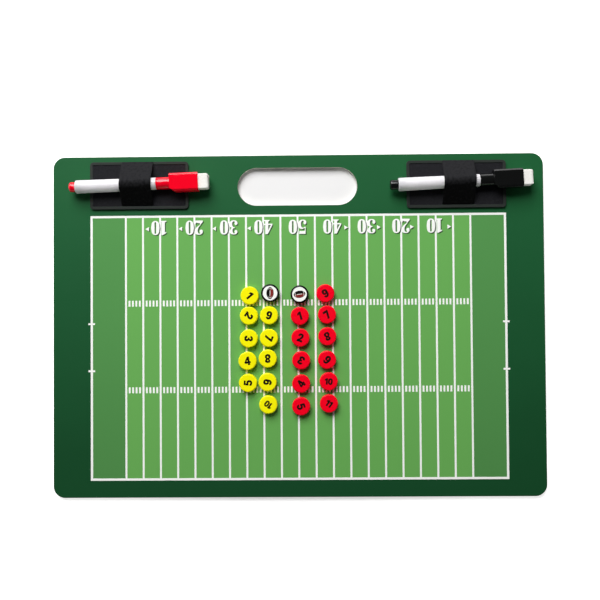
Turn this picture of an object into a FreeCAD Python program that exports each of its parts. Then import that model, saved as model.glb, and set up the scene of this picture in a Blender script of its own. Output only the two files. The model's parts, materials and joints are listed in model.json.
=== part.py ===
"""Magnetic tactics board with two markers in elastic loops and a set of round magnets.

The board lies on its back. The origin is the middle of the back face, +X runs to the
right along the long side, +Y towards the hand slot and +Z out of the printed face.
Sizes are millimetres and degrees.
"""
import FreeCAD, Part
import math
import os
import re

import Sketcher
from FreeCAD import Vector

SIZES = {
    # laminated board
    "board_width": 420.0,
    "board_height": 291.9,
    "board_corner": 10.0,
    "back_thickness": 0.4,
    "core_thickness": 2.5,
    "steel_thickness": 0.3,
    "front_thickness": 0.8,
    "front_edge_round": 0.4,
    # hand slot
    "slot_length": 102.5,
    "slot_width": 32.5,
    "slot_top_margin": 10.6,
    # holder plates and the tape under them
    "plate_length": 84.5,
    "plate_height": 40.6,
    "plate_corner": 3.0,
    "plate_side_margin": 32.2,
    "left_plate_top_margin": 4.85,
    "right_plate_top_margin": 5.9,
    "plate_base": 0.9,
    "plate_rim_width": 2.4,
    "plate_rim_height": 0.5,
    "plate_rim_round": 0.4,
    "plate_recess_corner": 1.2,
    "plate_slit_margin": 0.3,
    "tape_margin": 1.5,
    "tape_clearance": 0.5,
    # elastic loops
    "loop_width": 26.9,
    "loop_thickness": 0.7,
    "loop_tuck": 9.0,
    "loop_gap": 0.15,
    "left_loop_shift": -1.35,
    "right_loop_shift": 1.5,
    # markers
    "marker_clearance": 0.3,
    "red_marker_rise": -0.1,
    "red_marker_yaw": 1.95,
    "red_marker_reach": 17.2,
    "black_marker_rise": 1.05,
    "black_marker_yaw": 2.6,
    "black_marker_reach": 17.0,
    "barrel_length": 68.6,
    "barrel_tail_diameter": 11.2,
    "barrel_front_diameter": 10.2,
    "barrel_tail_chamfer": 0.7,
    "barrel_wall": 1.2,
    "barrel_front_wall": 3.0,
    "nozzle_length": 8.5,
    "nozzle_diameter": 8.0,
    "nozzle_chamfer": 1.2,
    "nozzle_lip": 0.95,
    "red_plug_length": 5.4,
    "black_plug_length": 7.1,
    "plug_diameter": 8.4,
    "plug_round": 1.6,
    "plug_spigot": 5.0,
    "fit_clearance": 0.05,
    "nib_diameter": 3.6,
    "nib_shank": 1.6,
    "nib_point": 2.4,
    "nib_point_diameter": 1.6,
    # caps and their erasers
    "cap_gap": 0.2,
    "cap_bore_clearance": 0.1,
    "cap_tip_room": 3.5,
    "cap_neck_length": 11.6,
    "cap_neck_wall": 1.0,
    "cap_box_length": 24.4,
    "cap_box_width": 15.6,
    "cap_box_thickness": 11.0,
    "cap_box_chamfer": 1.6,
    "cap_slope_length": 4.0,
    "cap_slope_width": 3.0,
    "cap_box_wall": 1.2,
    "eraser_seat": 8.0,
    "eraser_proud": 8.6,
    "eraser_chamfer": 1.8,
    # magnets
    "magnet_diameter": 15.4,
    "magnet_top": 2.3,
    "magnet_round": 1.0,
    "magnet_wall": 2.0,
    "slug_thickness": 3.0,
    "slug_recess": 0.2,
    "slug_clearance": 0.1,
    "first_column": -42.2,
    "column_gap_1": 1.7,
    "column_gap_2": 11.6,
    "column_gap_3": 7.4,
    "first_row": 27.25,
    "row_gap": 3.4,
}

# heights above the back face
FACE = "(back_thickness + core_thickness + steel_thickness + front_thickness)"
PLATE_BOTTOM = f"({FACE} + loop_thickness)"
RIM_TOP = f"({PLATE_BOTTOM} + plate_base + plate_rim_height)"
WIDEST = "max(barrel_tail_diameter; barrel_front_diameter)"
AXIS = f"({RIM_TOP} + max({WIDEST}; cap_box_thickness) / 2 + marker_clearance)"

# places on the face
PLATE_X = "(board_width / 2 - plate_side_margin - plate_length / 2)"
PLATE_Y = {
    side: f"(board_height / 2 - {side}_plate_top_margin - plate_height / 2)" for side in ("left", "right")
}
SLOT_Y = "(board_height / 2 - slot_top_margin - slot_width / 2)"
COLUMNS = ["first_column"]
for gap in ("column_gap_1", "column_gap_2", "column_gap_3"):
    COLUMNS.append(f"{COLUMNS[-1]} + magnet_diameter + {gap}")

# from the plate's middle to the band's inner faces: flush with the upper edge, and in the lower slit
BAND_ABOVE = "(plate_height / 2 - loop_thickness)"
BAND_BELOW = "(plate_height / 2 - plate_rim_width - plate_slit_margin - loop_gap - loop_thickness)"

# the magnets of each column, from the top: row, and how far off the even spacing they lie
YELLOW_OUTER = [(0, 1.1, -1.6), (1, 0.4, 0.1), (2, 0.1, -0.4), (3, -1.0, -0.6), (4, -0.7, -0.5)]
YELLOW_INNER = [(1, 0.4, 0.3), (2, 0.2, -0.1), (3, -0.9, 1.3), (4, -1.2, 0.1), (5, -0.7, -0.1)]
RED_INNER = [(1, -0.5, -0.3), (2, -0.1, 0.0), (3, 0.4, -0.4), (4, 0.3, -1.3), (5, 0.1, -1.7)]
RED_OUTER = [(0, -1.5, -0.1), (1, -0.2, 0.6), (2, -0.1, 1.0), (3, -0.4, -0.1), (4, 0.8, 0.4), (5, 0.9, 0.5)]
BALL_LEFT = (0, 1.4, 0.4)
BALL_RIGHT = (0, -0.6, -0.8)

# edges closer than this to a place count as lying on it
NEAR = 1e-6
# a rounded edge takes at most this share of the sheet's thickness
ROUND_SHARE = 0.7

doc = FreeCAD.newDocument("TacticsBoard")
sheet = doc.addObject("Spreadsheet::Sheet", "Sizes")
sub_parts = []


def fill_sheet():
    """Write each size and its name into the sheet."""
    for row, (name, number) in enumerate(SIZES.items(), start=1):
        sheet.set(f"A{row}", name)
        sheet.set(f"B{row}", str(number))
        sheet.setAlias(f"B{row}", name)
    doc.recompute()


def size(name):
    """A size as the sheet holds it."""
    return float(sheet.get(name))


def bound(text):
    """An expression whose size names point at their cells."""
    return re.sub(r"[a-z]\w*", lambda word: f"Sizes.{word[0]}" if word[0] in SIZES else word[0], text)


def worth(text):
    """The number that an expression of sizes comes to."""
    return float(sheet.evalExpression(bound(text)))


def place(item, x="0", y="0", z="0", yaw="0"):
    """Bind an object's place and its turn about Z."""
    for axis, text in zip("xyz", (x, y, z)):
        item.setExpression(f"Placement.Base.{axis}", bound(text))
    item.setExpression("Placement.Rotation.Angle", bound(yaw))


def new_body(label):
    """A named sub-part made of features."""
    body = doc.addObject("PartDesign::Body", label)
    body.Label = label
    sub_parts.append(body)
    return body


def new_sketch(body, role, lift="0"):
    """An empty sketch on one of the body's origin planes, lifted along the plane's normal."""
    plane = next(item for item in body.Origin.OriginFeatures if item.Role == role)
    sketch = body.newObject("Sketcher::SketchObject", "Sketch")
    sketch.AttachmentSupport = [(plane, "")]
    sketch.MapMode = "FlatFace"
    sketch.setExpression("AttachmentOffset.Base.z", bound(lift))
    return sketch


def bind_point(sketch, line, across, along):
    """Tie a line's start to its two coordinates."""
    for kind, axis, text in (("DistanceX", -2, across), ("DistanceY", -1, along)):
        if text == "0":
            sketch.addConstraint(Sketcher.Constraint("PointOnObject", line, 1, axis))
            continue
        start = sketch.getPoint(line, 1)
        now = start.x if kind == "DistanceX" else start.y
        number = sketch.addConstraint(Sketcher.Constraint(kind, -1, 1, line, 1, now))
        sketch.renameConstraint(number, f"{kind}{line}")
        sketch.setExpression(f"Constraints.{kind}{line}", bound(text))


def draw_outline(sketch, points):
    """A closed run of straight lines through points given as pairs of expressions."""
    count = len(points)
    turns = [2 * math.pi * index / count for index in range(count)]
    ring = [Vector(math.cos(turn), math.sin(turn), 0) for turn in turns]
    for index in range(count):
        sketch.addGeometry(Part.LineSegment(ring[index], ring[(index + 1) % count]), False)
    for index in range(count):
        sketch.addConstraint(Sketcher.Constraint("Coincident", index, 2, (index + 1) % count, 1))
    for index, (across, along) in enumerate(points):
        bind_point(sketch, index, across, along)


def rectangle(width, height):
    """A rectangle's corners about the sketch's origin."""
    right, top = f"({width}) / 2", f"({height}) / 2"
    left, bottom = f"-{right}", f"-{top}"
    return [(left, bottom), (right, bottom), (right, top), (left, top)]


def draw_circle(sketch, diameter):
    """A circle about the sketch's origin."""
    sketch.addGeometry(Part.Circle(Vector(0, 0, 0), Vector(0, 0, 1), 1), False)
    sketch.addConstraint(Sketcher.Constraint("Coincident", 0, 3, -1, 1))
    number = sketch.addConstraint(Sketcher.Constraint("Diameter", 0, 2))
    sketch.renameConstraint(number, "Diameter")
    sketch.setExpression("Constraints.Diameter", bound(diameter))


def draw_stadium(sketch, length, width, middle):
    """A slot with round ends, centred across and lying at a height along the sketch.

    It is drawn as a small slot first, which the bound sizes then stretch.
    """
    ends = ((-1, math.pi / 2, 3 * math.pi / 2), (1, -math.pi / 2, math.pi / 2))
    for side, start, stop in ends:
        round_end = Part.Circle(Vector(2 * side, 5, 0), Vector(0, 0, 1), 1)
        sketch.addGeometry(Part.ArcOfCircle(round_end, start, stop), False)
    sketch.addGeometry(Part.LineSegment(Vector(-2, 4, 0), Vector(2, 4, 0)), False)
    sketch.addGeometry(Part.LineSegment(Vector(2, 6, 0), Vector(-2, 6, 0)), False)
    joints = ((0, 2, 2, 1), (2, 2, 1, 1), (1, 2, 3, 1), (3, 2, 0, 1))
    for joint in joints:
        sketch.addConstraint(Sketcher.Constraint("Tangent", *joint))
    sketch.addConstraint(Sketcher.Constraint("Equal", 0, 1))
    for name, constraint, text in (
        ("Radius", Sketcher.Constraint("Radius", 0, 1), f"{width} / 2"),
        ("Left", Sketcher.Constraint("DistanceX", -1, 1, 0, 3, -2), f"-({length} - {width}) / 2"),
        ("Right", Sketcher.Constraint("DistanceX", -1, 1, 1, 3, 2), f"({length} - {width}) / 2"),
        ("LeftHeight", Sketcher.Constraint("DistanceY", -1, 1, 0, 3, 5), middle),
        ("RightHeight", Sketcher.Constraint("DistanceY", -1, 1, 1, 3, 5), middle),
    ):
        number = sketch.addConstraint(constraint)
        sketch.renameConstraint(number, name)
        sketch.setExpression(f"Constraints.{name}", bound(text))


def add_pad(body, sketch, length, both_ways=False):
    """Material from a sketch along its normal, or half of it to each side."""
    pad = body.newObject("PartDesign::Pad", "Pad")
    pad.Profile = sketch
    pad.setExpression("Length", bound(length))
    if both_ways:
        pad.SideType = "Symmetric"
    doc.recompute()


def add_pocket(body, sketch, depth, along_normal=False):
    """A cut from a sketch against its normal, or along it."""
    before = body.Shape.Volume
    pocket = body.newObject("PartDesign::Pocket", "Pocket")
    pocket.Profile = sketch
    pocket.Reversed = along_normal
    pocket.setExpression("Length", bound(depth))
    doc.recompute()
    if body.Shape.Volume >= before:
        raise ValueError(f"a pocket in {body.Label} cuts nothing")


def add_turning(body, sketch, axis):
    """A full turn of a sketch about one of its own axes."""
    turning = body.newObject("PartDesign::Revolution", "Revolution")
    turning.Profile = sketch
    turning.ReferenceAxis = (sketch, [axis])
    turning.Angle = 360
    doc.recompute()


def add_edge_finish(body, kind, chosen, amount):
    """A Fillet or Chamfer on the edges that the chosen test picks."""
    base = body.Tip
    names = [f"Edge{number}" for number, edge in enumerate(base.Shape.Edges, start=1) if chosen(edge)]
    if not names:
        raise ValueError(f"{body.Label} has no edge for its {kind}")
    finish = body.newObject(f"PartDesign::{kind}", kind)
    finish.Base = (base, names)
    finish.setExpression("Radius" if kind == "Fillet" else "Size", bound(amount))
    doc.recompute()


def stands_up(edge):
    """True for an edge along Z."""
    box = edge.BoundBox
    return box.ZLength > NEAR and box.XLength + box.YLength < NEAR


def lies_at(edge, height):
    """True for an edge whose whole length is at one height."""
    box = edge.BoundBox
    return abs(box.ZMin - height) < NEAR and abs(box.ZMax - height) < NEAR


def laminate_sheet(label, thickness, bottom, edge_round=None):
    """One layer of the board, with rounded corners and the hand slot."""
    body = new_body(label)
    outline = new_sketch(body, "XY_Plane")
    draw_outline(outline, rectangle("board_width", "board_height"))
    add_pad(body, outline, thickness)
    add_edge_finish(body, "Fillet", stands_up, "board_corner")
    if edge_round:
        top = size(thickness)
        add_edge_finish(body, "Fillet", lambda edge: lies_at(edge, top), edge_round)
    slot = new_sketch(body, "XY_Plane")
    draw_stadium(slot, "slot_length", "slot_width", SLOT_Y)
    add_pocket(body, slot, thickness, along_normal=True)
    place(body, z=bottom)


def board():
    """The four layers, from the back to the printed face."""
    laminate_sheet("back_sheet", "back_thickness", "0")
    laminate_sheet("core_panel", "core_thickness", "back_thickness")
    laminate_sheet("steel_sheet", "steel_thickness", "back_thickness + core_thickness")
    edge_round = f"min(front_edge_round; {ROUND_SHARE} * front_thickness)"
    laminate_sheet("front_sheet", "front_thickness", f"{FACE} - front_thickness", edge_round)


def holder_plate(side, x):
    """A plate with a raised rim round its panel, and a notch and a slit for the band."""
    body = new_body(f"{side}_holder_plate")
    height = "plate_base + plate_rim_height"
    outline = new_sketch(body, "XY_Plane")
    draw_outline(outline, rectangle("plate_length", "plate_height"))
    add_pad(body, outline, height)
    add_edge_finish(body, "Fillet", stands_up, "plate_corner")
    top = size("plate_base") + size("plate_rim_height")
    add_edge_finish(body, "Fillet", lambda edge: lies_at(edge, top), "plate_rim_round")
    panel = new_sketch(body, "XY_Plane", height)
    draw_outline(panel, rectangle("plate_length - 2 * plate_rim_width", "plate_height - 2 * plate_rim_width"))
    add_pocket(body, panel, "plate_rim_height")

    def in_recess(edge):
        return stands_up(edge) and edge.BoundBox.ZMin > size("plate_base") - NEAR

    add_edge_finish(body, "Fillet", in_recess, "plate_recess_corner")
    left = f"{side}_loop_shift - loop_width / 2 - loop_gap"
    right = f"{side}_loop_shift + loop_width / 2 + loop_gap"
    notch = (f"{BAND_ABOVE} - loop_gap", "plate_height / 2 + loop_gap")
    slit = (f"-({BAND_BELOW} + loop_thickness + loop_gap)", f"-({BAND_BELOW} - loop_gap)")
    for low, high in (notch, slit):
        opening = new_sketch(body, "XY_Plane", height)
        draw_outline(opening, [(left, low), (right, low), (right, high), (left, high)])
        add_pocket(body, opening, height)
    place(body, x, PLATE_Y[side], PLATE_BOTTOM)
    return body


def plate_tape(side, x):
    """Foam tape under a plate, cut away where the band's ends lie beside it."""
    body = new_body(f"{side}_plate_tape")
    right = "(plate_length / 2 - tape_margin)"
    top = "(plate_height / 2 - tape_margin)"
    notch_right = f"({side}_loop_shift + loop_width / 2 + tape_clearance)"
    notch_left = f"({side}_loop_shift - loop_width / 2 - tape_clearance)"
    above = f"({BAND_ABOVE} - loop_tuck - tape_clearance)"
    below = f"-({BAND_BELOW} - loop_tuck - tape_clearance)"
    upper = [(notch_right, top), (notch_right, above), (notch_left, above), (notch_left, top)]
    lower = [(notch_left, f"-{top}"), (notch_left, below), (notch_right, below), (notch_right, f"-{top}")]
    left_end = [(f"-{right}", top), (f"-{right}", f"-{top}")]
    right_end = [(right, f"-{top}"), (right, top)]
    outline = new_sketch(body, "XY_Plane")
    draw_outline(outline, upper + left_end + lower + right_end)
    add_pad(body, outline, "loop_thickness")
    place(body, x, PLATE_Y[side], FACE)


def marker_body(label, marker, side, points):
    """A turned piece of a marker, given by its profile along and out from the marker's axis."""
    body = new_body(label)
    profile = new_sketch(body, "XZ_Plane")
    draw_outline(profile, points)
    add_turning(body, profile, "H_Axis")
    place_on_marker(body, marker, side)
    return body


def place_on_marker(body, marker, side):
    """Put a piece in its marker's frame: X along the axis from the barrel's front end."""
    yaw = f"{marker}_marker_yaw"
    reach = f"{marker}_marker_reach"
    sign = "-" if side == "left" else ""
    x = f"{sign}{PLATE_X} + {side}_loop_shift + {reach} * cos({yaw})"
    y = f"{PLATE_Y[side]} + {marker}_marker_rise + {reach} * sin({yaw})"
    place(body, x, y, AXIS, yaw)


BORE = "(barrel_front_diameter / 2 - barrel_wall)"
NIB_HOLE = "(nib_diameter / 2 + fit_clearance)"


def marker_barrel(marker, side):
    """A tapered tube with a nozzle that carries the cap and the nib."""
    tail, front = "(barrel_tail_diameter / 2)", "(barrel_front_diameter / 2)"
    nozzle = "nozzle_diameter / 2"
    return marker_body(f"{marker}_barrel", marker, side, [
        ("-barrel_length", BORE),
        ("-barrel_length", f"{tail} - barrel_tail_chamfer"),
        ("-barrel_length + barrel_tail_chamfer", tail),
        ("0", front),
        ("0", nozzle),
        ("nozzle_length - nozzle_chamfer", nozzle),
        ("nozzle_length", f"{NIB_HOLE} + nozzle_lip"),
        ("nozzle_length", NIB_HOLE),
        ("-barrel_front_wall", NIB_HOLE),
        ("-barrel_front_wall", BORE),
    ])


def tail_plug(marker, side):
    """The coloured end plug, with a spigot in the barrel's bore."""
    spigot = f"{BORE} - fit_clearance"
    end = f"-barrel_length - {marker}_plug_length"
    body = marker_body(f"{marker}_tail_plug", marker, side, [
        ("-barrel_length + plug_spigot", "0"),
        ("-barrel_length + plug_spigot", spigot),
        ("-barrel_length", spigot),
        ("-barrel_length", "plug_diameter / 2"),
        (end, "plug_diameter / 2"),
        (end, "0"),
    ])

    def at_end(edge):
        return abs(edge.BoundBox.XMin - worth(end)) < NEAR and edge.BoundBox.XLength < NEAR

    add_edge_finish(body, "Fillet", at_end, "plug_round")


def ink_core(marker, side):
    """The fibre filler that fills the bore from the plug to the front wall."""
    back, front = "-barrel_length + plug_spigot", "-barrel_front_wall"
    out = f"{BORE} - fit_clearance"
    marker_body(f"{marker}_ink_core", marker, side, [(back, "0"), (back, out), (front, out), (front, "0")])


def nib(marker, side):
    """The fibre rod from the core through the nozzle, with a blunt point."""
    shank_end = "nozzle_length + nib_shank"
    tip = f"{shank_end} + nib_point"
    marker_body(f"{marker}_nib", marker, side, [
        ("-barrel_front_wall", "0"),
        ("-barrel_front_wall", "nib_diameter / 2"),
        (shank_end, "nib_diameter / 2"),
        (tip, "nib_point_diameter / 2"),
        (tip, "0"),
    ])


BOX_END = "(cap_neck_length + cap_box_length)"
CAP_BORE = "(nozzle_diameter + 2 * cap_bore_clearance)"
CAP_BORE_DEPTH = "nozzle_length + nib_shank + nib_point + cap_tip_room"
SEAT_WIDTH = "(cap_box_width - 2 * cap_box_wall)"
SEAT_THICKNESS = "(cap_box_thickness - 2 * cap_box_wall)"


def cap_shell(marker, side):
    """A cap with a round neck over the nozzle and a flat box for the eraser."""
    body = new_body(f"{marker}_cap_shell")
    half = "cap_box_width / 2"
    plan = new_sketch(body, "XY_Plane")
    draw_outline(plan, [
        ("cap_neck_length", half),
        ("cap_neck_length", f"-{half} + cap_slope_width"),
        ("cap_neck_length + cap_slope_length", f"-{half}"),
        (BOX_END, f"-{half}"),
        (BOX_END, half),
    ])
    add_pad(body, plan, "cap_box_thickness", both_ways=True)
    long_enough = size("cap_box_length") - size("cap_slope_length") - NEAR

    def along_box(edge):
        return edge.BoundBox.XLength > long_enough and edge.BoundBox.YLength < NEAR

    add_edge_finish(body, "Chamfer", along_box, "cap_box_chamfer")
    neck = new_sketch(body, "YZ_Plane", "cap_gap")
    draw_circle(neck, f"{CAP_BORE} + 2 * cap_neck_wall")
    add_pad(body, neck, "cap_neck_length - cap_gap + cap_slope_length")
    bore = new_sketch(body, "YZ_Plane")
    draw_circle(bore, CAP_BORE)
    add_pocket(body, bore, CAP_BORE_DEPTH, along_normal=True)
    seat = new_sketch(body, "YZ_Plane", BOX_END)
    draw_outline(seat, rectangle(SEAT_WIDTH, SEAT_THICKNESS))
    add_pocket(body, seat, "eraser_seat")
    place_on_marker(body, marker, side)


def eraser(marker, side):
    """A felt block seated in the cap's box and standing out of its end."""
    body = new_body(f"{marker}_eraser")
    section = new_sketch(body, "YZ_Plane", f"{BOX_END} - eraser_seat")
    width = f"{SEAT_WIDTH} - 2 * fit_clearance"
    thickness = f"{SEAT_THICKNESS} - 2 * fit_clearance"
    draw_outline(section, rectangle(width, thickness))
    add_pad(body, section, "eraser_seat + eraser_proud")
    end = size("cap_neck_length") + size("cap_box_length") + size("eraser_proud")
    add_edge_finish(body, "Chamfer", lambda edge: edge.BoundBox.XMin > end - NEAR, "eraser_chamfer")
    place_on_marker(body, marker, side)


def marker_set(marker, side):
    """One marker with its cap, in the loop on its side. Returns the barrel."""
    barrel = marker_barrel(marker, side)
    tail_plug(marker, side)
    ink_core(marker, side)
    nib(marker, side)
    cap_shell(marker, side)
    eraser(marker, side)
    return barrel


def loop_side(x, side, edge, bottom, top, axis):
    """Half of the band's section: its inner points and outer points, from the tuck to the arch.

    The band lies under the plate, comes up at its edge or through its slit and runs straight to
    where it touches the arch over the marker.
    """
    thick = size("loop_thickness")
    inner = max(size("barrel_tail_diameter"), size("barrel_front_diameter")) / 2 + size("marker_clearance")
    tuck = edge - side * size("loop_tuck")
    shoulder = Vector(x, edge, top + size("loop_gap"))
    corner = Vector(x, edge, bottom)
    reach = shoulder - axis
    lean = math.acos(inner / math.hypot(reach.y, reach.z))
    turn = math.atan2(reach.z, reach.y) + side * lean
    out = Vector(0, math.cos(turn), math.sin(turn))
    beside = Vector(0, side, 0)
    below = Vector(0, 0, -1)
    inside = [Vector(x, tuck, bottom), corner, shoulder, axis + out * inner]
    outside = [
        inside[0] + below * thick,
        corner + below * thick,
        corner + (beside + below).normalize() * thick,
        corner + beside * thick,
        shoulder + beside * thick,
        shoulder + (beside + out).normalize() * thick,
        shoulder + out * thick,
        axis + out * (inner + thick),
    ]
    return inside, outside


def loop_section(x, spot, axis):
    """The band's closed section in the plane at one X, for the spot of its plate."""
    panel = spot.z + size("plate_base")
    rim = panel + size("plate_rim_height")
    low_in, low_out = loop_side(x, -1, spot.y - worth(BAND_BELOW), spot.z, panel, axis)
    high_in, high_out = loop_side(x, 1, spot.y + worth(BAND_ABOVE), spot.z, rim, axis)
    crown_in = axis + Vector(0, 0, (low_in[3] - axis).Length)
    crown_out = axis + Vector(0, 0, (low_out[7] - axis).Length)

    def line(start, end):
        return Part.LineSegment(start, end).toShape()

    def arc(start, through, end):
        return Part.Arc(start, through, end).toShape()

    def inner_run(points):
        return [line(points[0], points[1]), line(points[1], points[2]), line(points[2], points[3])]

    def outer_run(points):
        return [
            line(points[0], points[1]),
            arc(points[1], points[2], points[3]),
            line(points[3], points[4]),
            arc(points[4], points[5], points[6]),
            line(points[6], points[7]),
        ]

    edges = inner_run(low_in) + [arc(low_in[3], crown_in, high_in[3])] + inner_run(high_in)
    edges += [line(high_in[0], high_out[0])] + outer_run(high_out)
    edges += [arc(high_out[7], crown_out, low_out[7])] + outer_run(low_out)
    edges += [line(low_out[0], low_in[0])]
    return Part.Wire(Part.__sortEdges__(edges))


def elastic_loop(side, plate, barrel):
    """A band round a plate and over a barrel, whose arch follows the barrel's slant."""
    spot = plate.Placement.Base
    axis = barrel.Placement.Base
    slant = math.tan(barrel.Placement.Rotation.Angle)
    middle_x = spot.x + size(f"{side}_loop_shift")
    sections = []
    for end in (-1, 1):
        x = middle_x + end * size("loop_width") / 2
        crown = Vector(x, axis.y + (x - axis.x) * slant, axis.z)
        sections.append(loop_section(x, spot, crown))
    band = doc.addObject("Part::Feature", f"{side}_elastic_loop")
    band.Label = f"{side}_elastic_loop"
    band.Shape = Part.makeLoft(sections, True, True)
    sub_parts.append(band)


def holder(side, marker, x):
    """A plate, its tape, the marker on it and the band over the marker."""
    plate = holder_plate(side, x)
    plate_tape(side, x)
    barrel = marker_set(marker, side)
    doc.recompute()
    elastic_loop(side, plate, barrel)


def magnet_cap():
    """The plastic cap of every magnet: a disc with a rounded top edge and a seat below."""
    body = doc.addObject("PartDesign::Body", "MagnetCap")
    outer = "magnet_diameter / 2"
    seat = "magnet_diameter / 2 - magnet_wall"
    ceiling = "slug_recess + slug_thickness"
    height = f"{ceiling} + magnet_top"
    profile = new_sketch(body, "XZ_Plane")
    draw_outline(profile, [
        ("0", height),
        (outer, height),
        (outer, "0"),
        (seat, "0"),
        (seat, ceiling),
        ("0", ceiling),
    ])
    add_turning(body, profile, "V_Axis")
    top = size("slug_recess") + size("slug_thickness") + size("magnet_top")
    add_edge_finish(body, "Fillet", lambda edge: lies_at(edge, top), "magnet_round")
    return body


def magnet_slug():
    """The ferrite slug of every magnet, glued into the cap."""
    slug = doc.addObject("Part::Cylinder", "MagnetSlug")
    slug.setExpression("Radius", bound("magnet_diameter / 2 - magnet_wall - slug_clearance"))
    slug.setExpression("Height", bound("slug_thickness"))
    place(slug, z="slug_recess")
    return slug


def magnets():
    """Every magnet: a copy of the cap and slug at its own place on the face."""
    pieces = [magnet_cap(), magnet_slug()]
    yellow = [(0, spot) for spot in YELLOW_OUTER] + [(1, spot) for spot in YELLOW_INNER]
    red = [(2, spot) for spot in RED_INNER] + [(3, spot) for spot in RED_OUTER]
    named = [(f"yellow_magnet_{number:02d}", *item) for number, item in enumerate(yellow, start=1)]
    named += [(f"red_magnet_{number:02d}", *item) for number, item in enumerate(red, start=1)]
    named += [("ball_magnet_left", 1, BALL_LEFT), ("ball_magnet_right", 2, BALL_RIGHT)]
    for label, column, (row, off_x, off_y) in named:
        magnet = doc.addObject("Part::Compound", label)
        magnet.Label = label
        magnet.Links = pieces
        x = f"{COLUMNS[column]} + {off_x}"
        y = f"first_row - {row} * (magnet_diameter + row_gap) + {off_y}"
        place(magnet, x, y, FACE)
        sub_parts.append(magnet)


def check_and_write():
    """Stop on anything that failed, then write one file for each sub-part."""
    doc.recompute()
    failed = [item.Label for item in doc.Objects if {"Invalid", "Error"} & set(item.State)]
    failed += [item.Label for item in sub_parts if item.Shape.isNull() or not item.Shape.isValid()]
    if failed:
        raise RuntimeError(f"these failed: {failed}")
    os.makedirs("parts", exist_ok=True)
    for item in sub_parts:
        item.Shape.exportStep(f"parts/{item.Label}.step")
        print(item.Label, len(item.Shape.Solids), "solids", round(item.Shape.Volume, 1), "mm3")


fill_sheet()
board()
holder("left", "red", f"-{PLATE_X}")
holder("right", "black", PLATE_X)
magnets()
check_and_write()
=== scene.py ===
"""Dresses the tactics board: its printed field, marker holders, markers and magnets, and the stage."""
import json
import math
from contextlib import contextmanager

import bmesh
import bpy
from bpy.props import FloatProperty, FloatVectorProperty, IntProperty, PointerProperty
from mathutils import Matrix, Vector


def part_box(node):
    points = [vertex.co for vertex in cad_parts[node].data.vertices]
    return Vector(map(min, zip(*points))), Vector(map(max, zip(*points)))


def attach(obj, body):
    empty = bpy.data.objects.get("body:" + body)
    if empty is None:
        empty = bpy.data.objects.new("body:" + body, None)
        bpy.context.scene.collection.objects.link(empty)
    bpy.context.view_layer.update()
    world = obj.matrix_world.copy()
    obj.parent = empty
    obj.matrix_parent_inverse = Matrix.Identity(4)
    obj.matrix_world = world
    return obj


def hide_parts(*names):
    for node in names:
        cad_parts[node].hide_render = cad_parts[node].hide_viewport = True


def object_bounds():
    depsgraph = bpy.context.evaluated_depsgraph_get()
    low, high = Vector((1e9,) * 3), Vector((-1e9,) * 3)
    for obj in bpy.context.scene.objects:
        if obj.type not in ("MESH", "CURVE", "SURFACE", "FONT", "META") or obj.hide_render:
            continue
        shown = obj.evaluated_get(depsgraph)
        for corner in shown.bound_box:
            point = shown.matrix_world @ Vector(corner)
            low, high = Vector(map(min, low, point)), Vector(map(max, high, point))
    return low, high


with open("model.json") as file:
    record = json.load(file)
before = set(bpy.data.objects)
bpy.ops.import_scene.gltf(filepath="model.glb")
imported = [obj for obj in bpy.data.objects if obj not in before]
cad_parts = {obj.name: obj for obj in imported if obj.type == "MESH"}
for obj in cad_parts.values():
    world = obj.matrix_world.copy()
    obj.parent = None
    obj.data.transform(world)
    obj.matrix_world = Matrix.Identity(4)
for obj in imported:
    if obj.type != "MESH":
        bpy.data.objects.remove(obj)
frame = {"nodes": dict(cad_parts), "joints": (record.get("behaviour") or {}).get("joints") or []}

bl_info = {
    "name": "Tactics board",
    "version": (1, 0, 0),
    "blender": (4, 5, 0),
    "location": "View3D > Sidebar > Tactics board",
    "description": "Dresses the board with its printed field, marker holders, markers and magnets",
    "category": "Object",
}

CAD_LOW, CAD_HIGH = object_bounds()
MM = 0.001
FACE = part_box("front_sheet")[1].z
# The marker that each side's holder carries.
SIDES = {"left": "red", "right": "black"}
# Least length that counts, reach within which points merge, and how square a face stands to an axis.
NEAR = 0.01 * MM
MERGE = 0.002 * MM
SQUARE = 0.9
# Slack of a rod in its hole, and how far a cutter stands out of what it cuts.
SLACK = 0.05 * MM
OUTSIDE = 1 * MM


def length(name, description, millimetres):
    """A length property, given in millimetres."""
    return FloatProperty(
        name=name, description=description, default=millimetres * MM, unit="LENGTH", precision=5
    )


def linear(value):
    """A screen value from 0 to 255 as linear light."""
    share = value / 255
    return share / 12.92 if share <= 0.04045 else ((share + 0.055) / 1.055) ** 2.4


def colour(name, description, red, green, blue):
    """A colour property, given as it shows on a screen, from 0 to 255."""
    return FloatVectorProperty(
        name=name,
        description=description,
        default=(linear(red), linear(green), linear(blue)),
        min=0.0,
        max=1.0,
        subtype="COLOR",
    )


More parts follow.
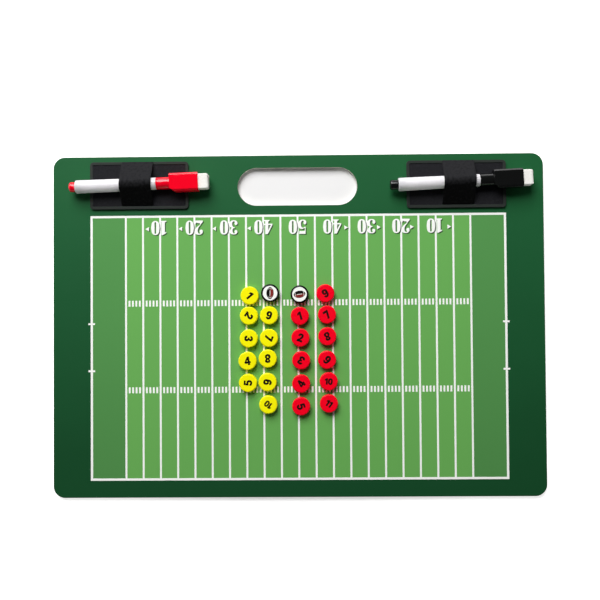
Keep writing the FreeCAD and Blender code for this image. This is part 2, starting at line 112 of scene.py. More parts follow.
class FieldSizes(bpy.types.PropertyGroup):
    """Sizes of the printed field, from the middle of the board."""

    half_length: length("Half length", "Middle of the field to its end lines", 177.0)
    goal: length("Goal line", "Middle of the field to each goal line", 147.5)
    top: length("Top line", "Height of the upper side line", 94.1)
    bottom: length("Bottom line", "Height of the lower side line", -130.4)
    yard_step: length("Line step", "Space from one yard line to the next", 14.75)
    yard_line: length("Yard line width", "Width of a yard line", 1.6)
    border_line: length("Border width", "Width of the line round the field", 1.9)
    hash_pitch: length("Hash pitch", "Space from one hash mark to the next", 2.95)
    hash_width: length("Hash width", "Width of a hash mark", 1.55)
    hash_height: length("Hash height", "Height of a hash mark", 5.1)
    upper_hash: length("Upper hash row", "Height of the upper row of hash marks", 19.55)
    lower_hash: length("Lower hash row", "Height of the lower row of hash marks", -54.5)
    tick_length: length("Tick length", "Length of a tick across an end line", 5.6)
    upper_tick: length("Upper tick", "Height of the upper ticks", 2.25)
    lower_tick: length("Lower tick", "Height of the lower ticks", -38.05)
    number_height: length("Number height", "Height of the yard numbers", 12.2)
    number_line: length("Number line", "Height of the middle of the yard numbers", 84.4)
    number_space: length("Digit space", "From the yard line to the middle of a digit", 4.1)
    arrow_size: length("Arrow size", "Length of an arrow", 3.1)
    arrow_drop: length("Arrow drop", "From the numbers' middle line down to the arrows", 0.95)
    shadow_drop: length("Number shadow", "How far the printed shadow stands off a digit", 0.8)
    ink: length("Ink layer", "Thickness of one layer of print", 0.04)


class HolderSizes(bpy.types.PropertyGroup):
    """Sizes of the plates and the elastic loops."""

    corner: length("Plate corner", "Radius of the plate's corners", 3.0)
    rim_width: length("Rim width", "Width of the plate's raised rim", 2.4)
    rim_height: length("Rim height", "Height of the rim over the panel", 0.5)
    rim_round: length("Rim rounding", "Rounding of the rim's edges", 0.22)
    slit_margin: length("Slit margin", "From the rim to the slit that takes the band", 0.3)
    tape_margin: length("Tape margin", "How far the tape stays inside the plate", 1.5)
    tape_clearance: length("Tape clearance", "Space from the tape to the band's ends", 0.5)
    band_thickness: length("Band thickness", "Thickness of the elastic band", 0.7)
    band_tuck: length("Band tuck", "How far the band's ends go under the plate", 9.0)
    band_gap: length("Band gap", "Space from the plate to the band", 0.15)
    band_arch: length("Band arch", "Inner radius of the band over the marker", 5.9)
    rib_pitch: length("Rib pitch", "Space from one knitted rib to the next", 1.06)
    rib_depth: length("Rib depth", "Depth of the grooves between ribs", 0.13)
    stitch_pitch: length("Stitch pitch", "Length of one stitch along a rib", 1.1)


class MarkerSizes(bpy.types.PropertyGroup):
    """Sizes of a marker and its cap, along its axis from the barrel's front end."""

    barrel_length: length("Barrel length", "Length of the white barrel", 68.6)
    tail_radius: length("Tail radius", "Radius of the barrel at its tail", 5.6)
    front_radius: length("Front radius", "Radius of the barrel at its front", 5.1)
    tail_chamfer: length("Tail chamfer", "Chamfer at the barrel's tail", 0.7)
    bore_radius: length("Bore radius", "Radius of the barrel's bore", 3.9)
    front_wall: length("Front wall", "Thickness of the wall behind the nozzle", 3.0)
    nozzle_length: length("Nozzle length", "Length of the nozzle that carries the cap", 8.5)
    nozzle_radius: length("Nozzle radius", "Radius of the nozzle", 4.0)
    red_plug_length: length("Red plug length", "Length of the red marker's tail plug", 5.4)
    black_plug_length: length("Black plug length", "Length of the black marker's tail plug", 7.1)
    plug_radius: length("Plug radius", "Radius of the tail plug", 4.2)
    plug_round: length("Plug rounding", "Rounding of the plug's end", 1.6)
    plug_spigot: length("Plug spigot", "Length of the plug inside the barrel", 5.0)
    nib_radius: length("Nib radius", "Radius of the nib", 1.8)
    nib_reach: length("Nib reach", "From the barrel's front end to the nib's tip", 12.5)
    neck_start: length("Neck start", "Gap from the barrel to the cap", 0.2)
    neck_radius: length("Neck radius", "Radius of the cap's round neck", 5.1)
    cap_bore: length("Cap bore", "Radius of the cap's bore", 4.1)
    bore_end: length("Bore end", "How far the cap's bore goes in", 16.0)
    box_start: length("Box start", "Where the cap's flat box begins", 11.6)
    box_end: length("Box end", "Where the cap's flat box ends", 36.0)
    box_width: length("Box width", "Width of the flat box", 15.6)
    box_thickness: length("Box thickness", "Thickness of the flat box", 11.0)
    box_chamfer: length("Box chamfer", "Chamfer along the box", 1.6)
    slope_length: length("Slope length", "Length of the box's slanted shoulder", 4.0)
    slope_width: length("Slope width", "Width of the box's slanted shoulder", 3.0)
    box_wall: length("Box wall", "Wall round the eraser", 1.2)
    seat_depth: length("Seat depth", "How deep the eraser sits in the box", 8.0)
    eraser_end: length("Eraser end", "Where the eraser ends", 44.6)
    eraser_slack: length("Eraser slack", "Space from the eraser to its seat", 0.05)
    eraser_bevel: length("Eraser bevel", "Bevel round the eraser's end", 1.8)


class MagnetSizes(bpy.types.PropertyGroup):
    """Sizes of a round magnet and its print."""

    radius: length("Radius", "Radius of a magnet", 7.7)
    height: length("Height", "Height of a magnet", 5.5)
    top_round: length("Top rounding", "Rounding of the top edge", 1.0)
    foot: length("Foot chamfer", "Chamfer at the foot", 0.2)
    slug_radius: length("Slug radius", "Radius of the ferrite slug below", 5.7)
    slug_recess: length("Slug recess", "How far the slug sits back from the foot", 0.2)
    single_height: length("Single digit", "Height of a single digit", 6.8)
    double_height: length("Two digits", "Height of two digits", 5.2)
    number_weight: length("Number weight", "How much heavier the numbers are than their outlines", 0.14)
    label_radius: length("Label radius", "Radius of the white label", 6.15)
    ball_length: length("Ball length", "Length of the printed ball", 10.2)
    ball_width: length("Ball width", "Width of the printed ball", 6.2)
    ball_edge: length("Ball edge", "Width of the dark line round the ball", 0.3)
    lace_length: length("Lace length", "Length of the ball's lace", 4.6)
    lace_width: length("Lace width", "Width of the lace", 0.42)


class BoardColours(bpy.types.PropertyGroup):
    """Colours of the board's pieces and prints."""

    border: colour("Border", "Film round the field", 27, 83, 47)
    field: colour("Field", "Ground between the goal lines", 106, 173, 88)
    end_zone: colour("End zones", "Ground behind the goal lines", 83, 145, 78)
    white_ink: colour("White print", "Lines and numbers", 253, 255, 250)
    number_shadow: colour("Number shadow", "Printed shadow of the numbers", 50, 74, 46)
    back_film: colour("Back film", "Plain film on the back", 33, 80, 52)
    core: colour("Core", "Foamed core at the cut edges", 244, 239, 227)
    plate: colour("Plate", "Panels of the holder plates", 34, 34, 37)
    # The rims' tone, lighter and greener than the panels', is a painted highlight: the light and the green
    # board that their smooth raised edges catch.
    rim: colour("Rim", "Smooth rims of the holder plates", 46, 51, 48)
    band: colour("Band", "Knitted elastic", 35, 35, 37)
    barrel: colour("Barrel", "Marker barrels", 233, 230, 234)
    red: colour("Red plastic", "Red cap and plug", 245, 0, 34)
    black: colour("Black plastic", "Black cap and plug", 12, 13, 13)
    felt: colour("Felt", "Erasers", 250, 248, 242)
    yellow_magnet: colour("Yellow magnets", "Yellow magnet plastic", 255, 246, 10)
    red_magnet: colour("Red magnets", "Red magnet plastic", 250, 2, 34)
    black_magnet: colour("Black magnets", "Black magnet plastic", 10, 10, 11)
    black_ink: colour("Black print", "Numbers on the magnets", 12, 9, 8)
    leather: colour("Ball", "Printed ball", 132, 44, 40)
    floor: colour("Floor", "Floor under the board", 241, 240, 240)


class StageSettings(bpy.types.PropertyGroup):
    """Light and camera."""

    key_power: FloatProperty(
        name="Key power", description="Power of the main lamp", default=43.0, min=0.0, unit="POWER"
    )
    key_size: length("Key size", "Side of the main lamp", 1200.0)
    ambient: FloatProperty(
        name="Ambient", description="Strength of the light from overhead", default=0.02, min=0.0
    )
    horizon: FloatProperty(
        name="Horizon", description="Strength of the light from the room's walls", default=1.0, min=0.0
    )
    focal_length: FloatProperty(
        name="Focal length", description="Focal length of the camera in mm", default=47.76, min=1.0
    )
    zenith: FloatProperty(
        name="Zenith", description="Grey of the room overhead, as seen in reflections", default=0.06, min=0.0
    )
    round_steps: IntProperty(
        name="Round steps", description="Sides of a round piece", default=72, min=12, max=256
    )


GROUPS = (
    ("tactics_field", FieldSizes),
    ("tactics_holder", HolderSizes),
    ("tactics_marker", MarkerSizes),
    ("tactics_magnet", MagnetSizes),
    ("tactics_colours", BoardColours),
    ("tactics_stage", StageSettings),
)


def only(*objs):
    """Leaves just these objects selected, the first of them active."""
    bpy.ops.object.select_all(action="DESELECT")
    for obj in objs:
        obj.select_set(True)
    bpy.context.view_layer.objects.active = objs[0]


@contextmanager
def editing(obj, kind="FACE"):
    """Edit mode on one object, with nothing of it selected at first."""
    only(obj)
    bpy.ops.object.mode_set(mode="EDIT")
    bpy.ops.mesh.select_mode(type=kind)
    bpy.ops.mesh.select_all(action="DESELECT")
    yield
    bpy.ops.object.mode_set(mode="OBJECT")


def choose(obj, elements, test):
    """Selects, in edit mode, the faces or edges that pass a test."""
    bpy.ops.mesh.select_all(action="DESELECT")
    shape = bmesh.from_edit_mesh(obj.data)
    found = [element for element in getattr(shape, elements) if test(element)]
    if not found:
        raise RuntimeError(f"nothing on {obj.name} to select")
    for element in found:
        element.select_set(True)
    shape.select_flush_mode()
    bmesh.update_edit_mesh(obj.data)


def ends(edge):
    """The two end points of an edge."""
    return [vertex.co for vertex in edge.verts]


def face_out(obj):
    """Merges doubles and turns all faces outwards."""
    with editing(obj):
        bpy.ops.mesh.select_all(action="SELECT")
        bpy.ops.mesh.remove_doubles(threshold=MERGE)
        bpy.ops.mesh.normals_make_consistent(inside=False)


def modify(obj, kind, **settings):
    """Adds one modifier and applies it."""
    only(obj)
    modifier = obj.modifiers.new(kind.title(), kind)
    for name, value in settings.items():
        setattr(modifier, name, value)
    bpy.ops.object.modifier_apply(modifier=modifier.name)


def soften(obj, width, segments=3, sharp=30):
    """Rounds the edges of a piece that turn by more than an angle in degrees."""
    modify(
        obj, "BEVEL", width=width, segments=segments, limit_method="ANGLE",
        angle_limit=math.radians(sharp), use_clamp_overlap=True,
    )


def smooth(obj, angle=35):
    """Smooth shading up to an angle in degrees, with the wide faces kept flat."""
    only(obj)
    bpy.ops.object.shade_smooth_by_angle(angle=math.radians(angle))
    modify(obj, "WEIGHTED_NORMAL", weight=100, keep_sharp=True)


def set_down(obj, matrix):
    """Moves a piece to its place and leaves its object at the origin."""
    only(obj)
    obj.matrix_world = matrix
    bpy.ops.object.transform_apply(location=True, rotation=True, scale=True)


def hang(obj, name, body, slot, finish, *nodes):
    """Names a finished piece, dresses it and makes it ride on its body for the nodes it replaces."""
    obj.name = name
    obj.data.name = name
    obj.data.materials.clear()
    for item in finish if isinstance(finish, list) else [finish]:
        obj.data.materials.append(item.material)
    if nodes:
        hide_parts(*nodes)
    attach(obj, body)


def twin(obj):
    """A copy of a piece with its own mesh."""
    copy = obj.copy()
    copy.data = obj.data.copy()
    bpy.context.collection.objects.link(copy)
    return copy


def discard(obj):
    """Removes a helper object."""
    bpy.data.objects.remove(obj, do_unlink=True)


def joined(objs):
    """Several pieces as one object."""
    only(*objs)
    bpy.ops.object.join()
    return objs[0]


def block(low, high):
    """A box between two corners, made from a cube."""
    low, high = Vector(low), Vector(high)
    bpy.ops.object.select_all(action="DESELECT")
    bpy.ops.mesh.primitive_cube_add(size=1.0, location=(low + high) / 2, scale=high - low)
    obj = bpy.context.object
    bpy.ops.object.transform_apply(location=True, rotation=True, scale=True)
    return obj


def turned(profile, steps):
    """A round body on the X axis: a disc drawn out ring by ring through (x, radius) pairs."""
    first, radius = profile[0]
    bpy.ops.object.select_all(action="DESELECT")
    bpy.ops.mesh.primitive_circle_add(
        vertices=steps, radius=radius, fill_type="NGON",
        location=(first, 0, 0), rotation=(0, math.pi / 2, 0),
    )
    obj = bpy.context.object
    bpy.ops.object.transform_apply(location=True, rotation=True, scale=True)
    with editing(obj):
        bpy.ops.mesh.select_all(action="SELECT")
        for (start, inner), (end, outer) in zip(profile, profile[1:]):
            bpy.ops.mesh.extrude_region_move(TRANSFORM_OT_translate={"value": (end - start, 0, 0)})
            share = outer / inner
            bpy.ops.transform.resize(value=(1, share, share), center_override=(end, 0, 0))
    face_out(obj)
    return obj


def quarter(x, radius, round_x, round_radius, count=5):
    """Points of a quarter round from (x, radius) that goes on by round_x and in by round_radius."""
    angles = [math.pi / 2 * step / count for step in range(count + 1)]
    return [
        (x + round_x * math.sin(angle), radius - round_radius * (1 - math.cos(angle))) for angle in angles
    ]


def wound(ring, clockwise):
    """The points of an outline in the order that runs clockwise, or the other way."""
    pairs = zip(ring, ring[1:] + ring[:1])
    area = sum(here[0] * there[1] - there[0] * here[1] for here, there in pairs)
    return ring if (area < 0) == clockwise else ring[::-1]


def flat_shape(rings, thickness, heavier=0.0):
    """A thin plate on the XY plane, cut to closed outlines: an outer one and its holes.

    A point is (x, y) at a corner and (x, y, R) on a curved stretch. Heavier outlines stand further
    out and their holes further in.
    """
    curve = bpy.data.curves.new("outline", "CURVE")
    curve.dimensions = "2D"
    curve.fill_mode = "BOTH"
    curve.resolution_u = 8
    curve.extrude = thickness / 2
    curve.offset = heavier
    for ring in rings:
        spline = curve.splines.new("BEZIER")
        spline.bezier_points.add(len(ring) - 1)
        spline.use_cyclic_u = True
        for point, spot in zip(spline.bezier_points, ring):
            kind = "AUTO" if len(spot) > 2 else "VECTOR"
            point.co = (spot[0], spot[1], 0)
            point.handle_left_type = kind
            point.handle_right_type = kind
    obj = bpy.data.objects.new("outline", curve)
    bpy.context.collection.objects.link(obj)
    only(obj)
    bpy.ops.object.convert(target="MESH")
    obj = bpy.context.object
    set_down(obj, Matrix.Translation((0, 0, thickness / 2)))
    face_out(obj)
    return obj


def shade(tone, factor):
    """A colour made lighter or darker, with alpha."""
    return [min(1.0, value * factor) for value in tone] + [1.0]


# Values that a cloudy pattern mostly keeps between.
CLOUD_LOW, CLOUD_HIGH = 0.3, 0.7
# How deep light goes into plastic that it seeps through.
SEEP_DEPTH = 20 * MM


class Finish:
    """A material: a principled shader and the patterns that feed it."""

    def __init__(self, name, mapping="Object", **constants):
        self.material = bpy.data.materials.new(name)
        self.material.use_nodes = True
        self.nodes = self.material.node_tree.nodes
        self.links = self.material.node_tree.links
        self.shader = self.nodes["Principled BSDF"]
        self.spot = self.nodes.new("ShaderNodeTexCoord").outputs[mapping]
        for name, value in constants.items():
            socket = name.replace("_", " ").title().replace("Ior", "IOR")
            self.shader.inputs[socket].default_value = value

    def add(self, kind, where=None, **values):
        """A new node with values on its sockets, fed with a place if it takes one."""
        node = self.nodes.new(f"ShaderNode{kind}")
        for name, value in values.items():
            node.inputs[name.replace("_", " ").title()].default_value = value
        if where:
            self.links.new(where, node.inputs["Vector"])
        return node

    def at(self, stretch):
        """The surface position, stretched along its axes."""
        return self.add("Mapping", self.spot, scale=stretch).outputs["Vector"]

    def noise(self, scale, detail=3.0, where=None):
        """Cloudy pattern."""
        return self.add("TexNoise", where or self.spot, scale=scale, detail=detail).outputs["Fac"]

    def cells(self, scale):
        """Pattern of small cells, dark in their middles."""
        return self.add("TexVoronoi", self.spot, scale=scale).outputs["Distance"]

    def rise(self, low, high):
        """Nought at one height of the mapping and one at another."""
        return self.between(self.add("SeparateXYZ", self.spot).outputs["Y"], low, high)

    def between(self, pattern, low, high, first=0.0, last=1.0):
        """A pattern spread so that two of its values give a first and a last one."""
        node = self.add("MapRange", from_min=low, from_max=high, to_min=first, to_max=last)
        self.links.new(pattern, node.inputs["Value"])
        return node.outputs["Result"]

    def mixed(self, first, second, share):
        """Two patterns laid over each other."""
        node = self.add("Mix", factor=share)
        self.links.new(first, node.inputs["A"])
        self.links.new(second, node.inputs["B"])
        return node.outputs["Result"]

    def tint(self, pattern, dark, light, low=CLOUD_LOW, high=CLOUD_HIGH):
        """Base colour that goes from dark to light with a pattern."""
        node = self.add("ValToRGB")
        start, end = node.color_ramp.elements
        start.position, start.color = low, dark
        end.position, end.color = high, light
        self.links.new(pattern, node.inputs["Fac"])
        self.links.new(node.outputs["Color"], self.shader.inputs["Base Color"])
        return self

    def gloss(self, pattern, smooth_value, rough_value):
        """Roughness that changes with a pattern."""
        rough = self.between(pattern, CLOUD_LOW, CLOUD_HIGH, smooth_value, rough_value)
        self.links.new(rough, self.shader.inputs["Roughness"])
        return self

    def relief(self, pattern, depth, strength):
        """Fine bumps of a depth in metres."""
        node = self.add("Bump", distance=depth, strength=strength)
        self.links.new(pattern, node.inputs["Height"])
        self.links.new(node.outputs["Normal"], self.shader.inputs["Normal"])
        return self


def film(name, tone, spread):
    """Satin printed film with fine print grain and slow random changes of tone, plus painted light: its
    colour is lighter towards the board's upper edge, on the lamp's side, and darker towards the lower edge.
    """
    finish = Finish(name, specular_ior_level=0.1)
    cloud = finish.mixed(finish.noise(16.0, 2.0), finish.noise(2600.0, 2.0), 0.3)
    # Painted light: the tone is mostly a ramp from darker at the lower edge to lighter at the upper one,
    # with slow random changes of tone laid over it.
    drift_and_painted_light = finish.mixed(finish.rise(CAD_LOW.y, CAD_HIGH.y), cloud, 0.25)
    finish.tint(drift_and_painted_light, shade(tone, 1 - spread), shade(tone, 1 + spread), 0.2, 0.8)
    finish.gloss(finish.noise(70.0, 4.0), 0.4, 0.46)
    return finish.relief(finish.noise(700.0, 1.0), 0.003 * MM, 0.4)


def moulded(name, tone, smooth_value, rough_value, spread=0.02, level=0.25, seep=0.0):
    """Moulded plastic: faint flow marks, handling haze and a fine skin, and light that seeps through it."""
    finish = Finish(
        name, specular_ior_level=level, subsurface_weight=seep, subsurface_scale=SEEP_DEPTH,
        subsurface_radius=(1.0, 1.0, 1.0),
    )
    flow = finish.noise(120.0, 3.0, finish.at((0.35, 1.0, 1.0)))
    finish.tint(flow, shade(tone, 1 - spread), shade(tone, 1 + spread))
    finish.gloss(finish.noise(210.0, 4.0), smooth_value, rough_value)
    return finish.relief(finish.noise(1500.0, 2.0), 0.001 * MM, 0.2)


def ink_print(name, tone, spread=0.05):
    """Screen print: a little thinner here and there."""
    finish = Finish(name, specular_ior_level=0.1)
    coat = finish.mixed(finish.noise(300.0, 3.0), finish.noise(2400.0, 2.0), 0.5)
    finish.tint(coat, shade(tone, 1 - spread), shade(tone, 1 + spread * 0.4))
    return finish.gloss(finish.noise(500.0, 2.0), 0.42, 0.55)


def felt(name, tone):
    """Pressed felt: tangled fibres and a soft sheen."""
    finish = Finish(name, sheen_weight=0.35, sheen_roughness=0.6, roughness=0.95, specular_ior_level=0.1)
    fibres = finish.mixed(finish.noise(1700.0, 5.0), finish.noise(620.0, 4.0, finish.at((1, 1, 3))), 0.45)
    finish.tint(fibres, shade(tone, 0.86), shade(tone, 1.03))
    return finish.relief(fibres, 0.14 * MM, 0.7)


def sheet_metal(name):
    """Bare rolled steel, drawn along its length."""
    finish = Finish(name, metallic=1.0)
    lines = finish.noise(900.0, 3.0, finish.at((0.04, 1.0, 1.0)))
    finish.tint(lines, (0.42, 0.43, 0.44, 1.0), (0.6, 0.6, 0.61, 1.0))
    return finish.gloss(lines, 0.3, 0.48)


def foam(name, tone, scale):
    """Cut foamed plastic: open cells at the surface."""
    finish = Finish(name, roughness=0.85, specular_ior_level=0.2)
    cells = finish.mixed(finish.cells(scale), finish.noise(scale * 0.4, 3.0), 0.4)
    finish.tint(cells, shade(tone, 0.9), shade(tone, 1.04), 0.15, 0.6)
    return finish.relief(cells, 0.08 * MM, 0.6)


def grained(name, tone):
    """Moulded plate with a fine leather grain, worn a little smoother in places."""
    finish = Finish(name, specular_ior_level=0.02)
    grain = finish.mixed(finish.cells(1100.0), finish.noise(420.0, 4.0), 0.4)
    finish.tint(grain, shade(tone, 0.8), shade(tone, 1.3), 0.2, 0.7)
    finish.gloss(finish.noise(90.0, 4.0), 0.5, 0.66)
    return finish.relief(grain, 0.03 * MM, 0.5)


def knitted(name, tone, widths, stitches):
    """Knitted elastic on the band's own map: slanted stitches, fibre and lint, with painted light: the upper
    half, which faces the lamp, is painted lighter, and the lower half is painted dark as shade.
    """
    finish = Finish(name, mapping="UV", sheen_weight=0.02, sheen_roughness=0.5, specular_ior_level=0.02)
    yarn = finish.add("TexWave", finish.at((widths, stitches, 1.0)), scale=1.0, distortion=1.2)
    yarn.wave_type = "BANDS"
    yarn.bands_direction = "DIAGONAL"
    fibre = finish.noise(1.0, 4.0, finish.at((widths * 9, stitches * 6, 1.0)))
    knit = finish.mixed(yarn.outputs["Fac"], fibre, 0.55)
    lint = finish.between(finish.noise(1.0, 2.0, finish.at((13.0, 28.0, 1.0))), 0.34, 0.66)
    # Painted light and shade: a step along the band's length, lighter over the upper half and much darker
    # over the lower one, which lies in shade.
    painted_light_half = finish.rise(0.42, 0.54)
    knit_and_painted_shade = finish.mixed(painted_light_half, finish.mixed(knit, lint, 0.6), 0.45)
    finish.tint(knit_and_painted_shade, shade(tone, 0.2), shade(tone, 1.2), 0.25, 0.8)
    finish.gloss(fibre, 0.75, 0.95)
    return finish.relief(knit, 0.05 * MM, 0.5)


class TACTICS_OT_board(bpy.types.Operator):
    """Finish the laminated sheets of the board"""

    bl_idname = "tactics.board"
    bl_label = "Board sheets"

    def execute(self, context):
        tones = context.scene.tactics_colours
        finishes = {
            # The border's wide spread mostly carries painted light: lighter towards the upper edge, darker
            # towards the lower one.
            "front_sheet": film("border_film", tones.border, 0.24),
            "back_sheet": film("back_film", tones.back_film, 0.04),
            "core_panel": foam("cut_core", tones.core, 1500.0),
            "steel_sheet": sheet_metal("steel_sheet"),
        }
        for node, finish in finishes.items():
            mesh = frame["nodes"][node].data
            mesh.materials.clear()
            mesh.materials.append(finish.material)
        return {"FINISHED"}


def layer(low, high, top):
    """A rectangle of print on the face, up to a height over it."""
    return block((low[0], low[1], FACE), (high[0], high[1], FACE + top))


def repeated(obj, count, step):
    """A row of copies of a mark, as an applied array."""
    modify(
        obj, "ARRAY", count=count, use_relative_offset=False,
        use_constant_offset=True, constant_offset_displace=step,
    )


class TACTICS_OT_field(bpy.types.Operator):
    """Print the field: ground, end zones, lines, hash marks and ticks"""

    bl_idname = "tactics.field"
    bl_label = "Printed field"

    def execute(self, context):
        sizes = context.scene.tactics_field
        tones = context.scene.tactics_colours
        self.ground(sizes, tones)
        white = ink_print("white_print", tones.white_ink, 0.03)
        prints = {
            "yard_lines": self.yard_lines,
            "border_lines": self.border,
            "hash_marks": self.hash_marks,
            "end_line_ticks": self.ticks,
        }
        for name, draw in prints.items():
            hang(draw(sizes), name, "board", "printed_film", white)
        return {"FINISHED"}

    def ground(self, sizes, tones):
        """The field between the goal lines and the two darker end zones."""
        field = layer((-sizes.goal, sizes.bottom), (sizes.goal, sizes.top), sizes.ink)
        hang(field, "field_ground", "board", "printed_film", film("field_green", tones.field, 0.04))
        green = film("end_zone_green", tones.end_zone, 0.09)
        ends_x = {"left": (-sizes.half_length, -sizes.goal), "right": (sizes.goal, sizes.half_length)}
        for name, (near, far) in ends_x.items():
            zone = layer((near, sizes.bottom), (far, sizes.top), sizes.ink)
            hang(zone, f"{name}_end_zone", "board", "printed_film", green)

    def yard_lines(self, sizes):
        """The upright lines from one goal line to the other."""
        half, inside = sizes.yard_line / 2, sizes.border_line / 2
        low = (-sizes.goal - half, sizes.bottom + inside)
        high = (-sizes.goal + half, sizes.top - inside)
        line = layer(low, high, 2 * sizes.ink)
        count = round(2 * sizes.goal / sizes.yard_step) + 1
        repeated(line, count, (sizes.yard_step, 0, 0))
        return line

    def border(self, sizes):
        """The frame of four lines round the field."""
        half = sizes.border_line / 2
        low, high = sizes.bottom, sizes.top
        outer, inner = sizes.half_length + half, sizes.half_length - half
        upright = layer((-outer, low - half), (-inner, high + half), 2 * sizes.ink)
        repeated(upright, 2, (2 * sizes.half_length, 0, 0))
        level = layer((-inner, low - half), (inner, low + half), 2 * sizes.ink)
        repeated(level, 2, (0, high - low, 0))
        return joined([upright, level])

    def hash_marks(self, sizes):
        """Two rows of short marks, four between each pair of yard lines."""
        half = sizes.hash_width / 2
        start = -sizes.goal + sizes.hash_pitch
        middle, reach = sizes.upper_hash, sizes.hash_height / 2
        mark = layer((start - half, middle - reach), (start + half, middle + reach), 2 * sizes.ink)
        gaps = round(sizes.yard_step / sizes.hash_pitch) - 1
        repeated(mark, gaps, (sizes.hash_pitch, 0, 0))
        repeated(mark, round(2 * sizes.goal / sizes.yard_step), (sizes.yard_step, 0, 0))
        repeated(mark, 2, (0, sizes.lower_hash - sizes.upper_hash, 0))
        return mark

    def ticks(self, sizes):
        """Short ticks across both end lines."""
        half, reach = sizes.yard_line / 2, sizes.tick_length / 2
        middle = sizes.upper_tick
        low = (-sizes.half_length - reach, middle - half)
        tick = layer(low, (-sizes.half_length + reach, middle + half), 3 * sizes.ink)
        repeated(tick, 2, (2 * sizes.half_length, 0, 0))
        repeated(tick, 2, (0, sizes.lower_tick - sizes.upper_tick, 0))
        return tick


# Marks a point on a curved stretch of an outline.
R = "round"
# Outlines of bold slab digits, 12 units tall, each about its own middle line.
DIGITS = {
    "0": [
        [(0, 6, R), (2.4, 4.9, R), (3.4, 1.6, R), (3.4, -1.6, R), (2.4, -4.9, R), (0, -6, R),
         (-2.4, -4.9, R), (-3.4, -1.6, R), (-3.4, 1.6, R), (-2.4, 4.9, R)],
        [(0, 5.0, R), (-0.7, 4.4), (-0.7, -4.4), (0, -5.0, R), (0.7, -4.4), (0.7, 4.4)],
    ],
    "1": [
        [(-1.2, -6), (4.0, -6), (4.0, -5.2), (2.9, -4.8), (2.9, 6), (1.8, 6), (-1.2, 4.3), (-1.2, 3.5),
         (0.0, 3.8), (0.0, -4.8), (-1.2, -5.2)],
    ],
    "2": [
        [(-2.9, 2.6, R), (-2.4, 5.0, R), (0.3, 6, R), (3.2, 5.0, R), (3.7, 2.7, R), (2.3, -0.1, R),
         (-0.6, -3.4, R), (1.0, -3.8, R), (2.5, -4.1, R), (3.0, -3.0), (3.7, -3.0), (3.3, -6), (-3.1, -6),
         (-3.1, -5.0), (-0.7, -1.8, R), (0.9, 0.9, R), (1.2, 3.2, R), (0.3, 5.0, R), (-0.9, 4.9, R),
         (-0.3, 3.4, R), (-0.9, 2.0, R), (-2.1, 1.7, R)],
    ],
    "3": [
        [(-3.2, 3.4, R), (-2.6, 5.2, R), (0, 6, R), (2.8, 5.0, R), (3.1, 2.9, R), (1.6, 0.4), (3.1, -0.7, R),
         (3.5, -2.7, R), (2.5, -5.1, R), (0, -6, R), (-2.6, -5.2, R), (-3.3, -3.2, R), (-2.1, -1.9, R),
         (-0.8, -3.0, R), (-1.1, -4.6, R), (-0.1, -5.1, R), (1.0, -4.0, R), (1.1, -2.2, R), (0.4, -0.5, R),
         (-0.9, -0.1), (-0.9, 0.7), (0.3, 1.0, R), (0.8, 2.9, R), (-0.1, 5.1, R), (-1.1, 4.8, R),
         (-0.7, 3.5, R), (-1.9, 2.2, R)],
    ],
    "4": [
        [(0.2, 6), (2.3, 6), (2.3, -1.7), (3.6, -1.7), (3.6, -2.8), (2.3, -2.8), (2.3, -4.7), (3.3, -5.1),
         (3.3, -6), (-1.4, -6), (-1.4, -5.1), (-0.3, -4.7), (-0.3, -2.8), (-3.7, -2.8), (-3.7, -1.7)],
        [(-0.3, -1.7), (-2.4, -1.7), (-0.3, 2.6)],
    ],
    "5": [
        [(-2.6, 6), (2.8, 6), (2.5, 3.6), (-1.7, 3.6), (-1.9, 1.2, R), (0.2, 1.9, R), (2.8, 0.8, R),
         (3.5, -2.0, R), (2.5, -5.0, R), (-0.2, -6, R), (-2.7, -5.2, R), (-3.3, -3.3, R), (-2.1, -2.0, R),
         (-0.9, -3.1, R), (-1.2, -4.6, R), (-0.2, -5.1, R), (0.9, -4.0, R), (1.1, -1.9, R), (0.6, 0.2, R),
         (-0.4, 0.9, R), (-1.9, 0.1), (-2.8, 0.1)],
    ],
}
DIGIT_HEIGHT = 12.0
# Half the height of an arrow, for its length.
ARROW_SPREAD = 0.58
# From each tenth line to its arrow, in millimetres, from the left end to the right one.
ARROW_REACH = {-4: 11.2, -3: 12.1, -2: 12.6, -1: 12.2, 1: 12.0, 2: 10.4, 3: 9.2, 4: 11.5}


